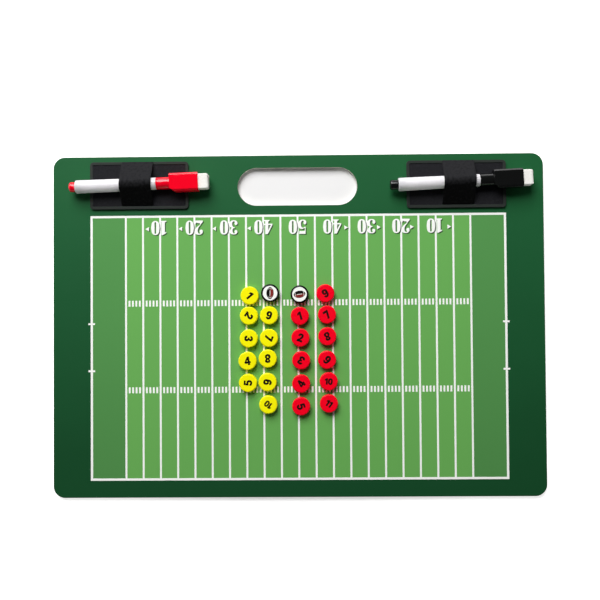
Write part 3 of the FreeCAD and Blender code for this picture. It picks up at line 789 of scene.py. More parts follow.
class TACTICS_OT_numbers(bpy.types.Operator):
    """Print the yard numbers and their arrows, which read from the top edge"""

    bl_idname = "tactics.numbers"
    bl_label = "Yard numbers"

    def execute(self, context):
        sizes = context.scene.tactics_field
        tones = context.scene.tactics_colours
        numbers = joined(self.marks(sizes, 4 * sizes.ink))
        set_down(numbers, Matrix.Translation((0, 0, FACE)))
        shadows = joined(self.marks(sizes, 3 * sizes.ink))
        set_down(shadows, Matrix.Translation((sizes.shadow_drop, -sizes.shadow_drop, FACE)))
        white = ink_print("number_white", tones.white_ink, 0.03)
        dark = ink_print("number_shade", tones.number_shadow)
        hang(numbers, "yard_numbers", "board", "printed_film", white)
        hang(shadows, "yard_number_shadows", "board", "printed_film", dark)
        return {"FINISHED"}

    def marks(self, sizes, thickness):
        """Every digit and arrow of one layer of print, at its place on the field."""
        scale = sizes.number_height / DIGIT_HEIGHT
        digits = {}
        for digit, rings in DIGITS.items():
            outline = [[(spot[0] * scale, spot[1] * scale, *spot[2:]) for spot in ring] for ring in rings]
            digits[digit] = flat_shape(outline, thickness)
        half, rise = sizes.arrow_size / 2, sizes.arrow_size * ARROW_SPREAD
        arrow = flat_shape([[(-half, 0), (half, rise), (half, -rise)]], thickness)
        upside_down = Matrix.Rotation(math.pi, 4, "Z")
        marks = []
        for step in range(-4, 5):
            x = step * 2 * sizes.yard_step
            yards = 50 - 10 * abs(step)
            for digit, side in zip(str(yards), (1, -1)):
                mark = twin(digits[digit])
                spot = Matrix.Translation((x + side * sizes.number_space, sizes.number_line, 0))
                set_down(mark, spot @ upside_down)
                marks.append(mark)
            if step in ARROW_REACH:
                mark = twin(arrow)
                reach = math.copysign(ARROW_REACH[step] * MM, step)
                spot = Matrix.Translation((x + reach, sizes.number_line - sizes.arrow_drop, 0))
                set_down(mark, spot @ (upside_down if step > 0 else Matrix.Identity(4)))
                marks.append(mark)
        for helper in [arrow, *digits.values()]:
            discard(helper)
        return marks


def band_edges(sizes, side):
    """Heights of the band's inner faces: over the slit, and flush with the plate's upper edge."""
    low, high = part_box(f"{side}_holder_plate")
    below = low.y + sizes.rim_width + sizes.slit_margin + sizes.band_gap + sizes.band_thickness
    return below, high.y - sizes.band_thickness


class TACTICS_OT_plates(bpy.types.Operator):
    """Model the rimmed plates that carry the markers, and the tape under them"""

    bl_idname = "tactics.plates"
    bl_label = "Holder plates"

    def execute(self, context):
        sizes = context.scene.tactics_holder
        tones = context.scene.tactics_colours
        # The rim's lighter tone is a painted highlight for the light that its smooth edges catch.
        rim = moulded("plate_rim", tones.rim, 0.4, 0.55, spread=0.06, level=0.1)
        moulding = [rim, grained("plate_grain", tones.plate)]
        backing = foam("tape_foam", tones.plate, 2200.0)
        for side in SIDES:
            low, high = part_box(f"{side}_holder_plate")
            plate = self.plate(sizes, low, high)
            self.open_for_band(plate, sizes, side)
            smooth(plate)
            hang(plate, f"{side}_plate", "board", "black_plate", moulding, f"{side}_holder_plate")
            middle = high.z - sizes.rim_height / 2
            for face in plate.data.polygons:
                in_panel = face.normal.z > SQUARE and face.center.z < middle
                face.material_index = 1 if in_panel else 0
            tape = self.tape(sizes, side)
            hang(tape, f"{side}_tape", "board", "foam_tape", backing, f"{side}_plate_tape")
        return {"FINISHED"}

    def plate(self, sizes, low, high):
        """A slab with round corners, its panel pressed in and its edges softened."""
        plate = block(low, high)
        with editing(plate, "EDGE"):
            choose(plate, "edges", lambda edge: abs(ends(edge)[0].z - ends(edge)[1].z) > NEAR)
            bpy.ops.mesh.bevel(offset=sizes.corner, segments=8, affect="EDGES")
            bpy.ops.mesh.select_mode(type="FACE")
            choose(plate, "faces", lambda face: face.normal.z > SQUARE)
            bpy.ops.mesh.inset(thickness=sizes.rim_width)
            bpy.ops.mesh.extrude_region_move(TRANSFORM_OT_translate={"value": (0, 0, -sizes.rim_height)})
        face_out(plate)
        soften(plate, sizes.rim_round)
        return plate

    def open_for_band(self, plate, sizes, side):
        """The notch in a plate's upper edge and the slit over its lower rim."""
        below, above = band_edges(sizes, side)
        start, end = (corner.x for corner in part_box(f"{side}_elastic_loop"))
        start, end = start - sizes.band_gap, end + sizes.band_gap
        spans = [
            (above - sizes.band_gap, above + sizes.band_thickness + OUTSIDE),
            (below - sizes.band_thickness - sizes.band_gap, below + sizes.band_gap),
        ]
        low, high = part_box(f"{side}_holder_plate")
        for bottom, top in spans:
            cutter = block((start, bottom, low.z - OUTSIDE), (end, top, high.z + OUTSIDE))
            modify(plate, "BOOLEAN", operation="DIFFERENCE", object=cutter, solver="EXACT")
            discard(cutter)

    def tape(self, sizes, side):
        """Foam tape cut away where the band's ends lie beside it."""
        low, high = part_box(f"{side}_holder_plate")
        band_low, band_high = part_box(f"{side}_elastic_loop")
        below, above = band_edges(sizes, side)
        left, right = low.x + sizes.tape_margin, high.x - sizes.tape_margin
        top, bottom = high.y - sizes.tape_margin, low.y + sizes.tape_margin
        upper = above - sizes.band_tuck - sizes.tape_clearance
        lower = below + sizes.band_tuck + sizes.tape_clearance
        start, end = band_low.x - sizes.tape_clearance, band_high.x + sizes.tape_clearance
        outline = [
            (left, bottom), (start, bottom), (start, lower), (end, lower), (end, bottom), (right, bottom),
            (right, top), (end, top), (end, upper), (start, upper), (start, top), (left, top),
        ]
        tape = flat_shape([outline], low.z - FACE)
        set_down(tape, Matrix.Translation((0, 0, FACE)))
        return tape


def marker_place(marker):
    """Where a marker lies: X along its axis, from the barrel's front end."""
    sizes = bpy.context.scene.tactics_marker
    joint = next(item for item in frame["joints"] if item["name"] == f"{marker}_marker_slide")
    along = Vector(joint["axis"]).normalized()
    low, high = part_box(f"{marker}_ink_core")
    middle = (sizes.plug_spigot - sizes.barrel_length - sizes.front_wall) / 2
    start = (low + high) / 2 - along * middle
    return Matrix.Translation(start) @ Matrix.Rotation(math.atan2(along.y, along.x), 4, "Z")


# Mesh steps to each rib and stitch, and the share of the band's thickness that is solid yarn.
KNIT_STEPS = 4
KNIT_BODY = 0.8
# Steps of the band's line round an edge and over the marker.
BEND_STEPS, ARCH_STEPS = 6, 24


class TACTICS_OT_loops(bpy.types.Operator):
    """Model the knitted bands that go round the plates and over the markers"""

    bl_idname = "tactics.loops"
    bl_label = "Elastic loops"

    def execute(self, context):
        sizes = context.scene.tactics_holder
        tones = context.scene.tactics_colours
        for side, marker in SIDES.items():
            band, widths, stitches = self.band(sizes, side, marker_place(marker))
            finish = knitted(f"{side}_knit", tones.band, widths, stitches)
            hang(band, f"{side}_band", "board", "black_elastic", finish, f"{side}_elastic_loop")
        return {"FINISHED"}

    def half_path(self, sizes, side, edge, bottom, top, crown):
        """Outer line of half the band in a YZ plane, from its tucked end to the arch's top."""
        thick = sizes.band_thickness
        shoulder = Vector((edge, top + sizes.band_gap))
        away = Vector((side * (shoulder.x - crown.x), shoulder.y - crown.y))
        turn = math.atan2(away.y, away.x) + math.acos(sizes.band_arch / away.length)
        points = [Vector((edge - side * sizes.band_tuck, bottom - thick))]

        def arc(centre, radius, start, end, count):
            for step in range(count + 1):
                angle = start + (end - start) * step / count
                points.append(centre + radius * Vector((side * math.cos(angle), math.sin(angle))))

        arc(Vector((edge, bottom)), thick, -math.pi / 2, 0.0, BEND_STEPS)
        arc(shoulder, thick, 0.0, turn, BEND_STEPS)
        arc(crown, sizes.band_arch + thick, turn, math.pi / 2, ARCH_STEPS)
        return points

    def edge_lines(self, sizes, side, place):
        """Outer lines of the band at its left and right edges, as points in YZ planes."""
        low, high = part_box(f"{side}_holder_plate")
        below, above = band_edges(sizes, side)
        panel = high.z - sizes.rim_height
        axis = place.translation
        along = place.to_3x3() @ Vector((1, 0, 0))
        lines = []
        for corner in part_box(f"{side}_elastic_loop"):
            crown = Vector((axis.y + (corner.x - axis.x) * along.y / along.x, axis.z))
            first = self.half_path(sizes, -1, below, low.z, panel, crown)
            second = self.half_path(sizes, 1, above, low.z, high.z, crown)
            lines.append(first + second[-2::-1])
        return lines

    def band(self, sizes, side, place):
        """A ribbed strip swept along the band's line, then given its thickness."""
        left, right = (corner.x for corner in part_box(f"{side}_elastic_loop"))
        lines = self.edge_lines(sizes, side, place)
        spans = [0.0]
        for here, there in zip(lines[0], lines[0][1:]):
            spans.append(spans[-1] + (there - here).length)
        ribs = round((right - left) / sizes.rib_pitch)
        stitches = round(spans[-1] / sizes.stitch_pitch)
        columns, rows = KNIT_STEPS * ribs, KNIT_STEPS * stitches
        shape = bmesh.new()
        knit_map = shape.loops.layers.uv.new("knit")
        grid = []
        for row in range(rows + 1):
            run = spans[-1] * row / rows
            grid.append([])
            left_spot, left_out = self.along(lines[0], spans, run)
            right_spot, right_out = self.along(lines[1], spans, run)
            for column in range(columns + 1):
                share = column / columns
                spot = left_spot.lerp(right_spot, share)
                out = left_out.lerp(right_out, share).normalized()
                spot = spot - out * self.groove(sizes, share, ribs, row / rows * stitches)
                grid[-1].append(shape.verts.new((left + (right - left) * share, spot.x, spot.y)))
        for row in range(rows):
            for column in range(columns):
                corners = [(row, column), (row, column + 1), (row + 1, column + 1), (row + 1, column)]
                face = shape.faces.new([grid[a][b] for a, b in corners])
                for loop, (a, b) in zip(face.loops, corners):
                    loop[knit_map].uv = (b / columns, a / rows)
        mesh = bpy.data.meshes.new(f"{side}_band")
        shape.to_mesh(mesh)
        shape.free()
        band = bpy.data.objects.new(f"{side}_band", mesh)
        bpy.context.collection.objects.link(band)
        modify(band, "SOLIDIFY", thickness=KNIT_BODY * sizes.band_thickness, offset=-1.0)
        smooth(band, 60)
        return band, ribs, stitches

    def along(self, line, spans, run):
        """The point and the outward direction at a distance along a line."""
        index = max(i for i in range(len(line) - 1) if spans[i] <= run or i == 0)
        here, there = line[index], line[index + 1]
        share = (run - spans[index]) / (spans[index + 1] - spans[index])
        step = (there - here).normalized()
        return here.lerp(there, min(1.0, share)), Vector((-step.y, step.x))

    def groove(self, sizes, share, ribs, stitch):
        """Depth below the band's outer line: grooves between ribs, dips between stitches, thin edges."""
        rib = share * ribs
        across = abs(math.sin(math.pi * rib))
        slant = 0.5 if int(rib) % 2 else 0.0
        dip = 0.5 + 0.5 * math.cos(2 * math.pi * (stitch + slant))
        edge = min(share, 1 - share) * ribs
        thinning = 0.25 * sizes.band_thickness
        rib_share, stitch_share = 0.7, 0.3
        relief = rib_share * (1 - across) + stitch_share * dip
        return sizes.rib_depth * relief + thinning * max(0.0, 1 - edge) ** 2


class TACTICS_OT_markers(bpy.types.Operator):
    """Model the barrels, tail plugs and nibs of both markers"""

    bl_idname = "tactics.markers"
    bl_label = "Markers"

    def execute(self, context):
        sizes = context.scene.tactics_marker
        tones = context.scene.tactics_colours
        steps = context.scene.tactics_stage.round_steps
        white = moulded("barrel_white", tones.barrel, 0.2, 0.34, seep=0.35)
        for marker in SIDES.values():
            tone = getattr(tones, marker)
            body = f"{marker}_marker"
            place = marker_place(marker)
            plastic = f"{marker}_plastic"
            barrel = self.barrel(sizes, steps)
            set_down(barrel, place)
            hang(barrel, f"{marker}_barrel_tube", body, "white_barrel", white, f"{marker}_barrel")
            plug = self.plug(sizes, getattr(sizes, f"{marker}_plug_length"), steps)
            set_down(plug, place)
            gloss = moulded(f"{marker}_plug_gloss", tone, 0.06, 0.1, level=0.5)
            hang(plug, f"{marker}_plug", body, plastic, gloss, f"{marker}_tail_plug")
            nib = self.nib(sizes, steps)
            set_down(nib, place)
            fibre = felt(f"{marker}_nib_fibre", [0.75 * value + 0.01 for value in tone])
            hang(nib, f"{marker}_nib_rod", body, "ink_fibre", fibre, f"{marker}_nib")
            core = frame["nodes"][f"{marker}_ink_core"].data
            core.materials.clear()
            filler = felt(f"{marker}_ink_filler", [0.3 + 0.5 * value for value in tone])
            core.materials.append(filler.material)
        return {"FINISHED"}

    def barrel(self, sizes, steps):
        """A tapered tube with its nozzle, open at the tail and at the nib's hole."""
        tail = -sizes.barrel_length
        hole, hole_depth = sizes.nib_radius + SLACK, 2 * MM
        lip, edge_round = 0.95 * MM, 0.18 * MM
        seat_end, waist_start, waist_end = (share * sizes.nozzle_length for share in (0.6, 0.62, 0.85))
        waist = 0.97 * sizes.nozzle_radius
        profile = [
            (tail + sizes.plug_spigot, sizes.bore_radius),
            (tail, sizes.bore_radius),
            (tail, sizes.tail_radius - sizes.tail_chamfer),
            (tail + sizes.tail_chamfer, sizes.tail_radius),
            (0, sizes.front_radius),
            (0, sizes.nozzle_radius),
            (seat_end, sizes.nozzle_radius),
            (waist_start, waist),
            (waist_end, waist),
            (sizes.nozzle_length, hole + lip),
            (sizes.nozzle_length, hole),
            (sizes.nozzle_length - hole_depth, hole),
        ]
        barrel = turned(profile, steps)
        soften(barrel, edge_round, 2)
        smooth(barrel)
        return barrel

    def plug(self, sizes, reach, steps):
        """The coloured end plug: a spigot, a collar and a rounded end."""
        seat = -sizes.barrel_length
        end = seat - reach
        turn = sizes.plug_round
        rounded = quarter(-end - turn, sizes.plug_radius, turn, turn)
        spigot, spigot_end = sizes.bore_radius - SLACK, seat + 0.9 * sizes.plug_spigot
        profile = [(spigot_end, spigot), (seat, spigot), (seat, sizes.plug_radius)]
        profile += [(-x, radius) for x, radius in rounded]
        plug = turned(profile, steps)
        smooth(plug)
        return plug

    def nib(self, sizes, steps):
        """A fibre rod with a rounded bullet point."""
        point, narrowing = 2.4 * MM, 0.72 * sizes.nib_radius
        shoulder = sizes.nib_reach - point
        profile = [(-sizes.front_wall, sizes.nib_radius)]
        profile += quarter(shoulder, sizes.nib_radius, point, narrowing, 7)
        nib = turned(profile, steps // 2)
        smooth(nib, 50)
        return nib


class TACTICS_OT_caps(bpy.types.Operator):
    """Model the marker caps with their flat boxes, and the felt erasers in them"""

    bl_idname = "tactics.caps"
    bl_label = "Caps and erasers"

    def execute(self, context):
        sizes = context.scene.tactics_marker
        tones = context.scene.tactics_colours
        steps = context.scene.tactics_stage.round_steps
        white = felt("eraser_felt", tones.felt)
        for marker in SIDES.values():
            place = marker_place(marker)
            body = f"{marker}_cap"
            gloss = moulded(f"{marker}_cap_gloss", getattr(tones, marker), 0.06, 0.1, level=0.5)
            cap = self.cap(sizes, steps)
            set_down(cap, place)
            hang(cap, f"{marker}_cap_body", body, f"{marker}_plastic", gloss, f"{marker}_cap_shell")
            eraser = self.eraser(sizes)
            set_down(eraser, place)
            hang(eraser, f"{marker}_eraser_felt", body, "white_felt", white, f"{marker}_eraser")
        return {"FINISHED"}

    def cap(self, sizes, steps):
        """A chamfered box with a slanted shoulder and a seat, united with a bored neck."""
        half, rise = sizes.box_width / 2, sizes.box_thickness / 2
        edge_round, lip = 0.32 * MM, 0.25 * MM
        box = block((sizes.box_start, -half, -rise), (sizes.box_end, half, rise))
        with editing(box):
            bpy.ops.mesh.select_all(action="SELECT")
            slope = Vector((sizes.box_start + sizes.slope_length, -half, 0))
            outward = Vector((-sizes.slope_width, -sizes.slope_length, 0)).normalized()
            bpy.ops.mesh.bisect(plane_co=slope, plane_no=outward, use_fill=True, clear_outer=True)
            bpy.ops.mesh.select_mode(type="EDGE")

            def runs_along(edge):
                start, end = ends(edge)
                return abs(start.x - end.x) > sizes.slope_length + NEAR and abs(start.y - end.y) < NEAR

            choose(box, "edges", runs_along)
            bpy.ops.mesh.bevel(offset=sizes.box_chamfer, segments=1, affect="EDGES")
            bpy.ops.mesh.select_mode(type="FACE")
            choose(box, "faces", lambda face: face.normal.x > SQUARE)
            bpy.ops.mesh.inset(thickness=sizes.box_wall)
            bpy.ops.mesh.extrude_region_move(TRANSFORM_OT_translate={"value": (-sizes.seat_depth, 0, 0)})
        face_out(box)
        soften(box, edge_round)
        start, radius = sizes.neck_start, sizes.neck_radius
        neck_end = sizes.box_start + sizes.slope_length
        neck = turned([(start, radius - lip), (start + lip, radius), (neck_end, radius)], steps)
        bore = turned([(start - OUTSIDE, sizes.cap_bore), (sizes.bore_end, sizes.cap_bore)], steps)
        modify(box, "BOOLEAN", operation="UNION", object=neck, solver="EXACT")
        modify(box, "BOOLEAN", operation="DIFFERENCE", object=bore, solver="EXACT")
        discard(neck)
        discard(bore)
        smooth(box, 30)
        return box

    def eraser(self, sizes):
        """A felt block with a bevelled end and a slightly uneven skin."""
        half = sizes.box_width / 2 - sizes.box_wall - sizes.eraser_slack
        rise = sizes.box_thickness / 2 - sizes.box_wall - sizes.eraser_slack
        side_bevel, fibre_size, fibre_height = 0.9 * MM, 0.9 * MM, 0.22 * MM
        start = sizes.box_end - sizes.seat_depth + sizes.eraser_slack
        eraser = block((start, -half, -rise), (sizes.eraser_end, half, rise))
        with editing(eraser, "EDGE"):
            choose(eraser, "edges", lambda edge: abs(ends(edge)[0].x - ends(edge)[1].x) > NEAR)
            bpy.ops.mesh.bevel(offset=side_bevel, segments=3, affect="EDGES")
            choose(eraser, "edges", lambda edge: min(end.x for end in ends(edge)) > sizes.eraser_end - NEAR)
            bpy.ops.mesh.bevel(offset=sizes.eraser_bevel, segments=2, affect="EDGES")
            bpy.ops.mesh.select_mode(type="FACE")
            bpy.ops.mesh.select_all(action="SELECT")
            bpy.ops.mesh.quads_convert_to_tris()
            bpy.ops.mesh.tris_convert_to_quads()
        modify(eraser, "SUBSURF", subdivision_type="SIMPLE", levels=4, render_levels=4)
        fibres = bpy.data.textures.new("felt_fibres", "CLOUDS")
        fibres.noise_scale = fibre_size
        fibres.noise_depth = 3
        modify(
            eraser, "DISPLACE", texture=fibres, strength=fibre_height, mid_level=0.85,
            texture_coords="LOCAL",
        )
        smooth(eraser, 60)
        return eraser


# Outlines of bold plain digits, 10 units tall, each about its own middle.
PLAIN_DIGITS = {
    "0": [
        [(0, 5.1, R), (2.7, 3.6, R), (3.4, 0, R), (2.7, -3.6, R), (0, -5.1, R), (-2.7, -3.6, R),
         (-3.4, 0, R), (-2.7, 3.6, R)],
        [(0, 3.1, R), (1.2, 0, R), (0, -3.1, R), (-1.2, 0, R)],
    ],
    "1": [[(-0.2, -5), (2.0, -5), (2.0, 5), (0.3, 5), (-2.4, 3.2), (-2.4, 1.1), (-0.2, 2.3)]],
    "2": [
        [(-3.2, -5), (3.2, -5), (3.2, -3.0), (-0.2, -3.0), (1.9, -0.9, R), (3.1, 2.0, R), (2.3, 4.3, R),
         (0, 5.1, R), (-2.4, 4.3, R), (-3.2, 1.9), (-1.1, 1.7), (-0.8, 2.8, R), (0, 3.2, R), (0.9, 2.6, R),
         (0.9, 1.6, R), (0, 0, R), (-3.2, -3.2)],
    ],
    "3": [
        [(-3.2, 2.4), (-2.4, 4.2, R), (0, 5.1, R), (2.4, 4.4, R), (3.1, 2.5, R), (1.9, 0.4), (3.3, -2.0, R),
         (2.5, -4.3, R), (0, -5.1, R), (-2.5, -4.3, R), (-3.3, -2.1), (-1.2, -1.9), (-0.8, -2.8, R),
         (0, -3.2, R), (1.0, -2.2, R), (0.4, -0.9, R), (-0.8, -0.7), (-0.8, 1.0), (0.4, 1.2, R),
         (0.9, 2.3, R), (0, 3.2, R), (-0.8, 2.9, R), (-1.2, 2.1)],
    ],
    "4": [
        [(0.3, 5), (2.4, 5), (2.4, -0.9), (3.5, -0.9), (3.5, -2.8), (2.4, -2.8), (2.4, -5), (0.2, -5),
         (0.2, -2.8), (-3.6, -2.8), (-3.6, -1.0)],
        [(0.2, -0.9), (0.2, 2.0), (-1.7, -0.9)],
    ],
    "5": [
        [(-2.4, 5), (2.8, 5), (2.8, 3.1), (-0.6, 3.1), (-0.8, 1.5), (0.4, 1.8, R), (2.6, 0.8, R),
         (3.4, -1.6, R), (2.5, -4.2, R), (0, -5.1, R), (-2.4, -4.3, R), (-3.2, -2.3), (-1.1, -2.1),
         (-0.8, -2.9, R), (0, -3.3, R), (1.0, -2.7, R), (1.2, -1.6, R), (0.9, -0.5, R), (0, -0.1, R),
         (-0.9, -0.6), (-2.9, -0.4)],
    ],
    "6": [
        [(3.0, 2.7), (2.2, 4.4, R), (0.3, 5.1, R), (-2.3, 3.9, R), (-3.3, 0, R), (-2.5, -4, R),
         (0.1, -5.1, R), (2.5, -4.2, R), (3.3, -1.8, R), (2.6, 0.4, R), (0.7, 1.5, R), (-1.0, 0.7),
         (-0.7, 2.5, R), (0.2, 3.2, R), (0.9, 2.5)],
        [(0.1, -0.2, R), (-1.0, -1.7, R), (0.1, -3.2, R), (1.1, -1.8, R)],
    ],
    "7": [[(-3.2, 5), (3.2, 5), (3.2, 3.4), (0.2, -5), (-2.2, -5), (0.8, 2.9), (-3.2, 2.9)]],
    "8": [
        [(0, 5.1, R), (2.4, 4.4, R), (3.0, 2.6, R), (2.0, 0.6, R), (3.3, -2.0, R), (2.4, -4.4, R),
         (0, -5.1, R), (-2.4, -4.4, R), (-3.3, -2.0, R), (-2.0, 0.6, R), (-3.0, 2.6, R), (-2.4, 4.4, R)],
        [(0, 3.3, R), (-0.9, 2.4, R), (0, 1.4, R), (0.9, 2.4, R)],
        [(0, -0.5, R), (-1.1, -1.9, R), (0, -3.3, R), (1.1, -1.9, R)],
    ],
}
PLAIN_DIGITS["9"] = [[(-spot[0], -spot[1], *spot[2:]) for spot in ring] for ring in PLAIN_DIGITS["6"]]
PLAIN_HEIGHT = 10.0
# From one digit to the next in the same units, narrower for a one.
PLAIN_STEP, NARROW_STEP = 7.6, 5.4


def lens(reach, upper, lower, count=14):
    """Outline of a ball from the side: two bows over one chord, drawn a little to a point at its ends."""
    points = []
    for first, bulge in ((0, upper), (math.pi, -lower)):
        for step in range(count):
            angle = math.pi * step / count
            points.append((reach * math.cos(first + angle), bulge * math.sin(angle) ** 1.2))
    return points


def bar(low_x, high_x, low_y, high_y):
    """Outline of a rectangle."""
    return [(low_x, low_y), (high_x, low_y), (high_x, high_y), (low_x, high_y)]


# How each magnet's print is turned, clockwise in degrees.
YELLOW_TURNS = (50, 125, 95, -10, -88, 197, 110, 180, -80, 218)
RED_TURNS = (-15, 20, 215, -60, 70, 150, -35, 160, 45, 5, 35)
BALL_TURNS = {"left": -88, "right": -8}


class TACTICS_OT_magnets(bpy.types.Operator):
    """Model the round magnets with their numbers and balls"""

    bl_idname = "tactics.magnets"
    bl_label = "Magnets"

    def execute(self, context):
        sizes = context.scene.tactics_magnet
        tones = context.scene.tactics_colours
        steps = context.scene.tactics_stage.round_steps
        ferrite = sheet_metal("ferrite")
        ferrite.tint(ferrite.noise(2500.0), (0.03, 0.03, 0.03, 1.0), (0.07, 0.07, 0.07, 1.0))
        ink = ink_print("black_print", tones.black_ink)
        master = self.disc(sizes, steps)
        for family, turns in (("yellow", YELLOW_TURNS), ("red", RED_TURNS)):
            plastic = moulded(f"{family}_magnet", getattr(tones, f"{family}_magnet"), 0.24, 0.34, level=0.15)
            for index, turn in enumerate(turns, 1):
                node = f"{family}_magnet_{index:02d}"
                body = f"{family}_disc_{index:02d}"
                self.place_disc(master, node, f"{node}_disc", body, f"{family}_magnet", [plastic, ferrite])
                number = self.number(sizes, str(index))
                self.lay(number, node, turn)
                hang(number, f"{family}_number_{index:02d}", body, "black_magnet", ink)
        shell = moulded("black_magnet", tones.black_magnet, 0.22, 0.32, spread=0.08, level=0.15)
        label = ink_print("white_label", tones.white_ink, 0.03)
        leather = ink_print("ball_brown", tones.leather, 0.1)
        for side, turn in BALL_TURNS.items():
            node, body = f"ball_magnet_{side}", f"ball_disc_{side}"
            self.place_disc(master, node, f"{node}_disc", body, "black_magnet", [shell, ferrite])
            for part, shape, finish in self.ball(sizes, steps, (label, ink, leather)):
                self.lay(shape, node, turn)
                hang(shape, f"{part}_{side}", body, "black_magnet", finish)
        discard(master)
        return {"FINISHED"}

    def disc(self, sizes, steps):
        """The plastic cap with its round top edge, and the slug's face in its foot."""
        low = sizes.radius - sizes.foot
        profile = [
            (sizes.slug_recess, sizes.slug_radius),
            (0, sizes.slug_radius),
            (0, low),
            (sizes.foot, sizes.radius),
        ]
        profile += quarter(sizes.height - sizes.top_round, sizes.radius, sizes.top_round, sizes.top_round, 6)
        disc = turned(profile, steps)
        set_down(disc, Matrix.Rotation(-math.pi / 2, 4, "Y"))
        smooth(disc)
        return disc

    def place_disc(self, master, node, name, body, slot, finishes):
        """One magnet at its node's place, with ferrite on the slug's face."""
        low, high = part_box(node)
        disc = twin(master)
        set_down(disc, Matrix.Translation(((low.x + high.x) / 2, (low.y + high.y) / 2, low.z)))
        hang(disc, name, body, slot, finishes, node)
        for face in disc.data.polygons:
            on_slug = face.normal.z < -SQUARE and face.center.z > low.z + NEAR
            face.material_index = 1 if on_slug else 0

    def lay(self, shape, node, turn):
        """Lays a print on a magnet's top, turned clockwise by an angle in degrees."""
        low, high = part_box(node)
        spot = Matrix.Translation(((low.x + high.x) / 2, (low.y + high.y) / 2, high.z))
        set_down(shape, spot @ Matrix.Rotation(-math.radians(turn), 4, "Z"))

    def number(self, sizes, text):
        """A bold number as a thin plate of ink, its digits side by side about the middle."""
        height = sizes.single_height if len(text) == 1 else sizes.double_height
        scale = height / PLAIN_HEIGHT
        steps = [NARROW_STEP if digit == "1" else PLAIN_STEP for digit in text]
        start = -sum(steps) / 2
        rings = []
        for digit, step in zip(text, steps):
            middle = start + step / 2
            for index, ring in enumerate(PLAIN_DIGITS[digit]):
                outline = [((spot[0] + middle) * scale, spot[1] * scale, *spot[2:]) for spot in ring]
                rings.append(wound(outline, index == 0))
            start += step
        return flat_shape(rings, bpy.context.scene.tactics_field.ink, sizes.number_weight)

    def ball(self, sizes, steps, finishes):
        """A white label and the layers of a printed ball: (name, shape, finish) of each."""
        label, ink, leather = finishes
        thin = bpy.context.scene.tactics_field.ink
        disc = turned([(0, sizes.label_radius), (thin, sizes.label_radius)], steps)
        set_down(disc, Matrix.Rotation(-math.pi / 2, 4, "Y"))
        long, wide = sizes.ball_length / 2, sizes.ball_width / 2
        edge = sizes.ball_edge
        outline = flat_shape([lens(long, wide, wide)], 2 * thin)
        body = flat_shape([lens(long - 2 * edge, wide - edge, wide - edge)], 3 * thin)
        shadow_edge = 0.1 * wide
        shadow = flat_shape([lens(long - 2 * edge, wide - edge, -shadow_edge)], 4 * thin)
        reach, half = sizes.lace_length / 2, sizes.lace_width / 2
        marks = [flat_shape([bar(-reach, reach, -half, half)], 5 * thin)]
        space, narrow, tall = 0.62 * reach, 0.4 * half, 2 * half
        for x in (-space, 0, space):
            marks.append(flat_shape([bar(x - narrow, x + narrow, -tall, tall)], 5 * thin))
        out, high, thick = 0.68 * long, 0.6 * wide, 0.7 * half
        for side in (-1, 1):
            x, bow = side * out, side * half
            stripe = [(x - thick, high), (x - thick + bow, 0, R), (x - thick, -high)]
            stripe += [(x + thick, -high), (x + thick + bow, 0, R), (x + thick, high)]
            marks.append(flat_shape([stripe], 5 * thin))
        return [
            ("ball_label", disc, label),
            ("ball_outline", outline, ink),
            ("ball_leather", body, leather),
            ("ball_shade", shadow, ink),
            ("ball_laces", joined(marks), label),
        ]


# Places and turns of the lamp and the camera, in metres and degrees.
LAMP_SPOT = (-0.40, 1.22, 1.18)
CAMERA_SPOT = (0.0110, 0.00725, 0.684)
CAMERA_TURN = (1.21, 0.80, -0.408)
SENSOR_WIDTH = 36.0
# Side of the floor, and how far it lies under the board.
FLOOR_SIDE = 12.0
FLOOR_GAP = 0.2 * MM
# How far the mirrored room leans back, in degrees, and where its walls and the lit ones end upwards.
ROOM_LEAN = -18
MIRRORED_END, LIT_END = 0.1, 0.5
WHITE = (1.0, 1.0, 1.0, 1.0)
# Glow that keeps the floor white for the eye: reaches from a spot under the board, and its strengths.
GLOW_SPOT = (0.0, 0.06, 0.0)
FLOOR_GLOW = [(0.08, 0.0), (0.088, 0.1), (0.2, 0.5), (0.26, 0.7), (0.9, 1.0)]


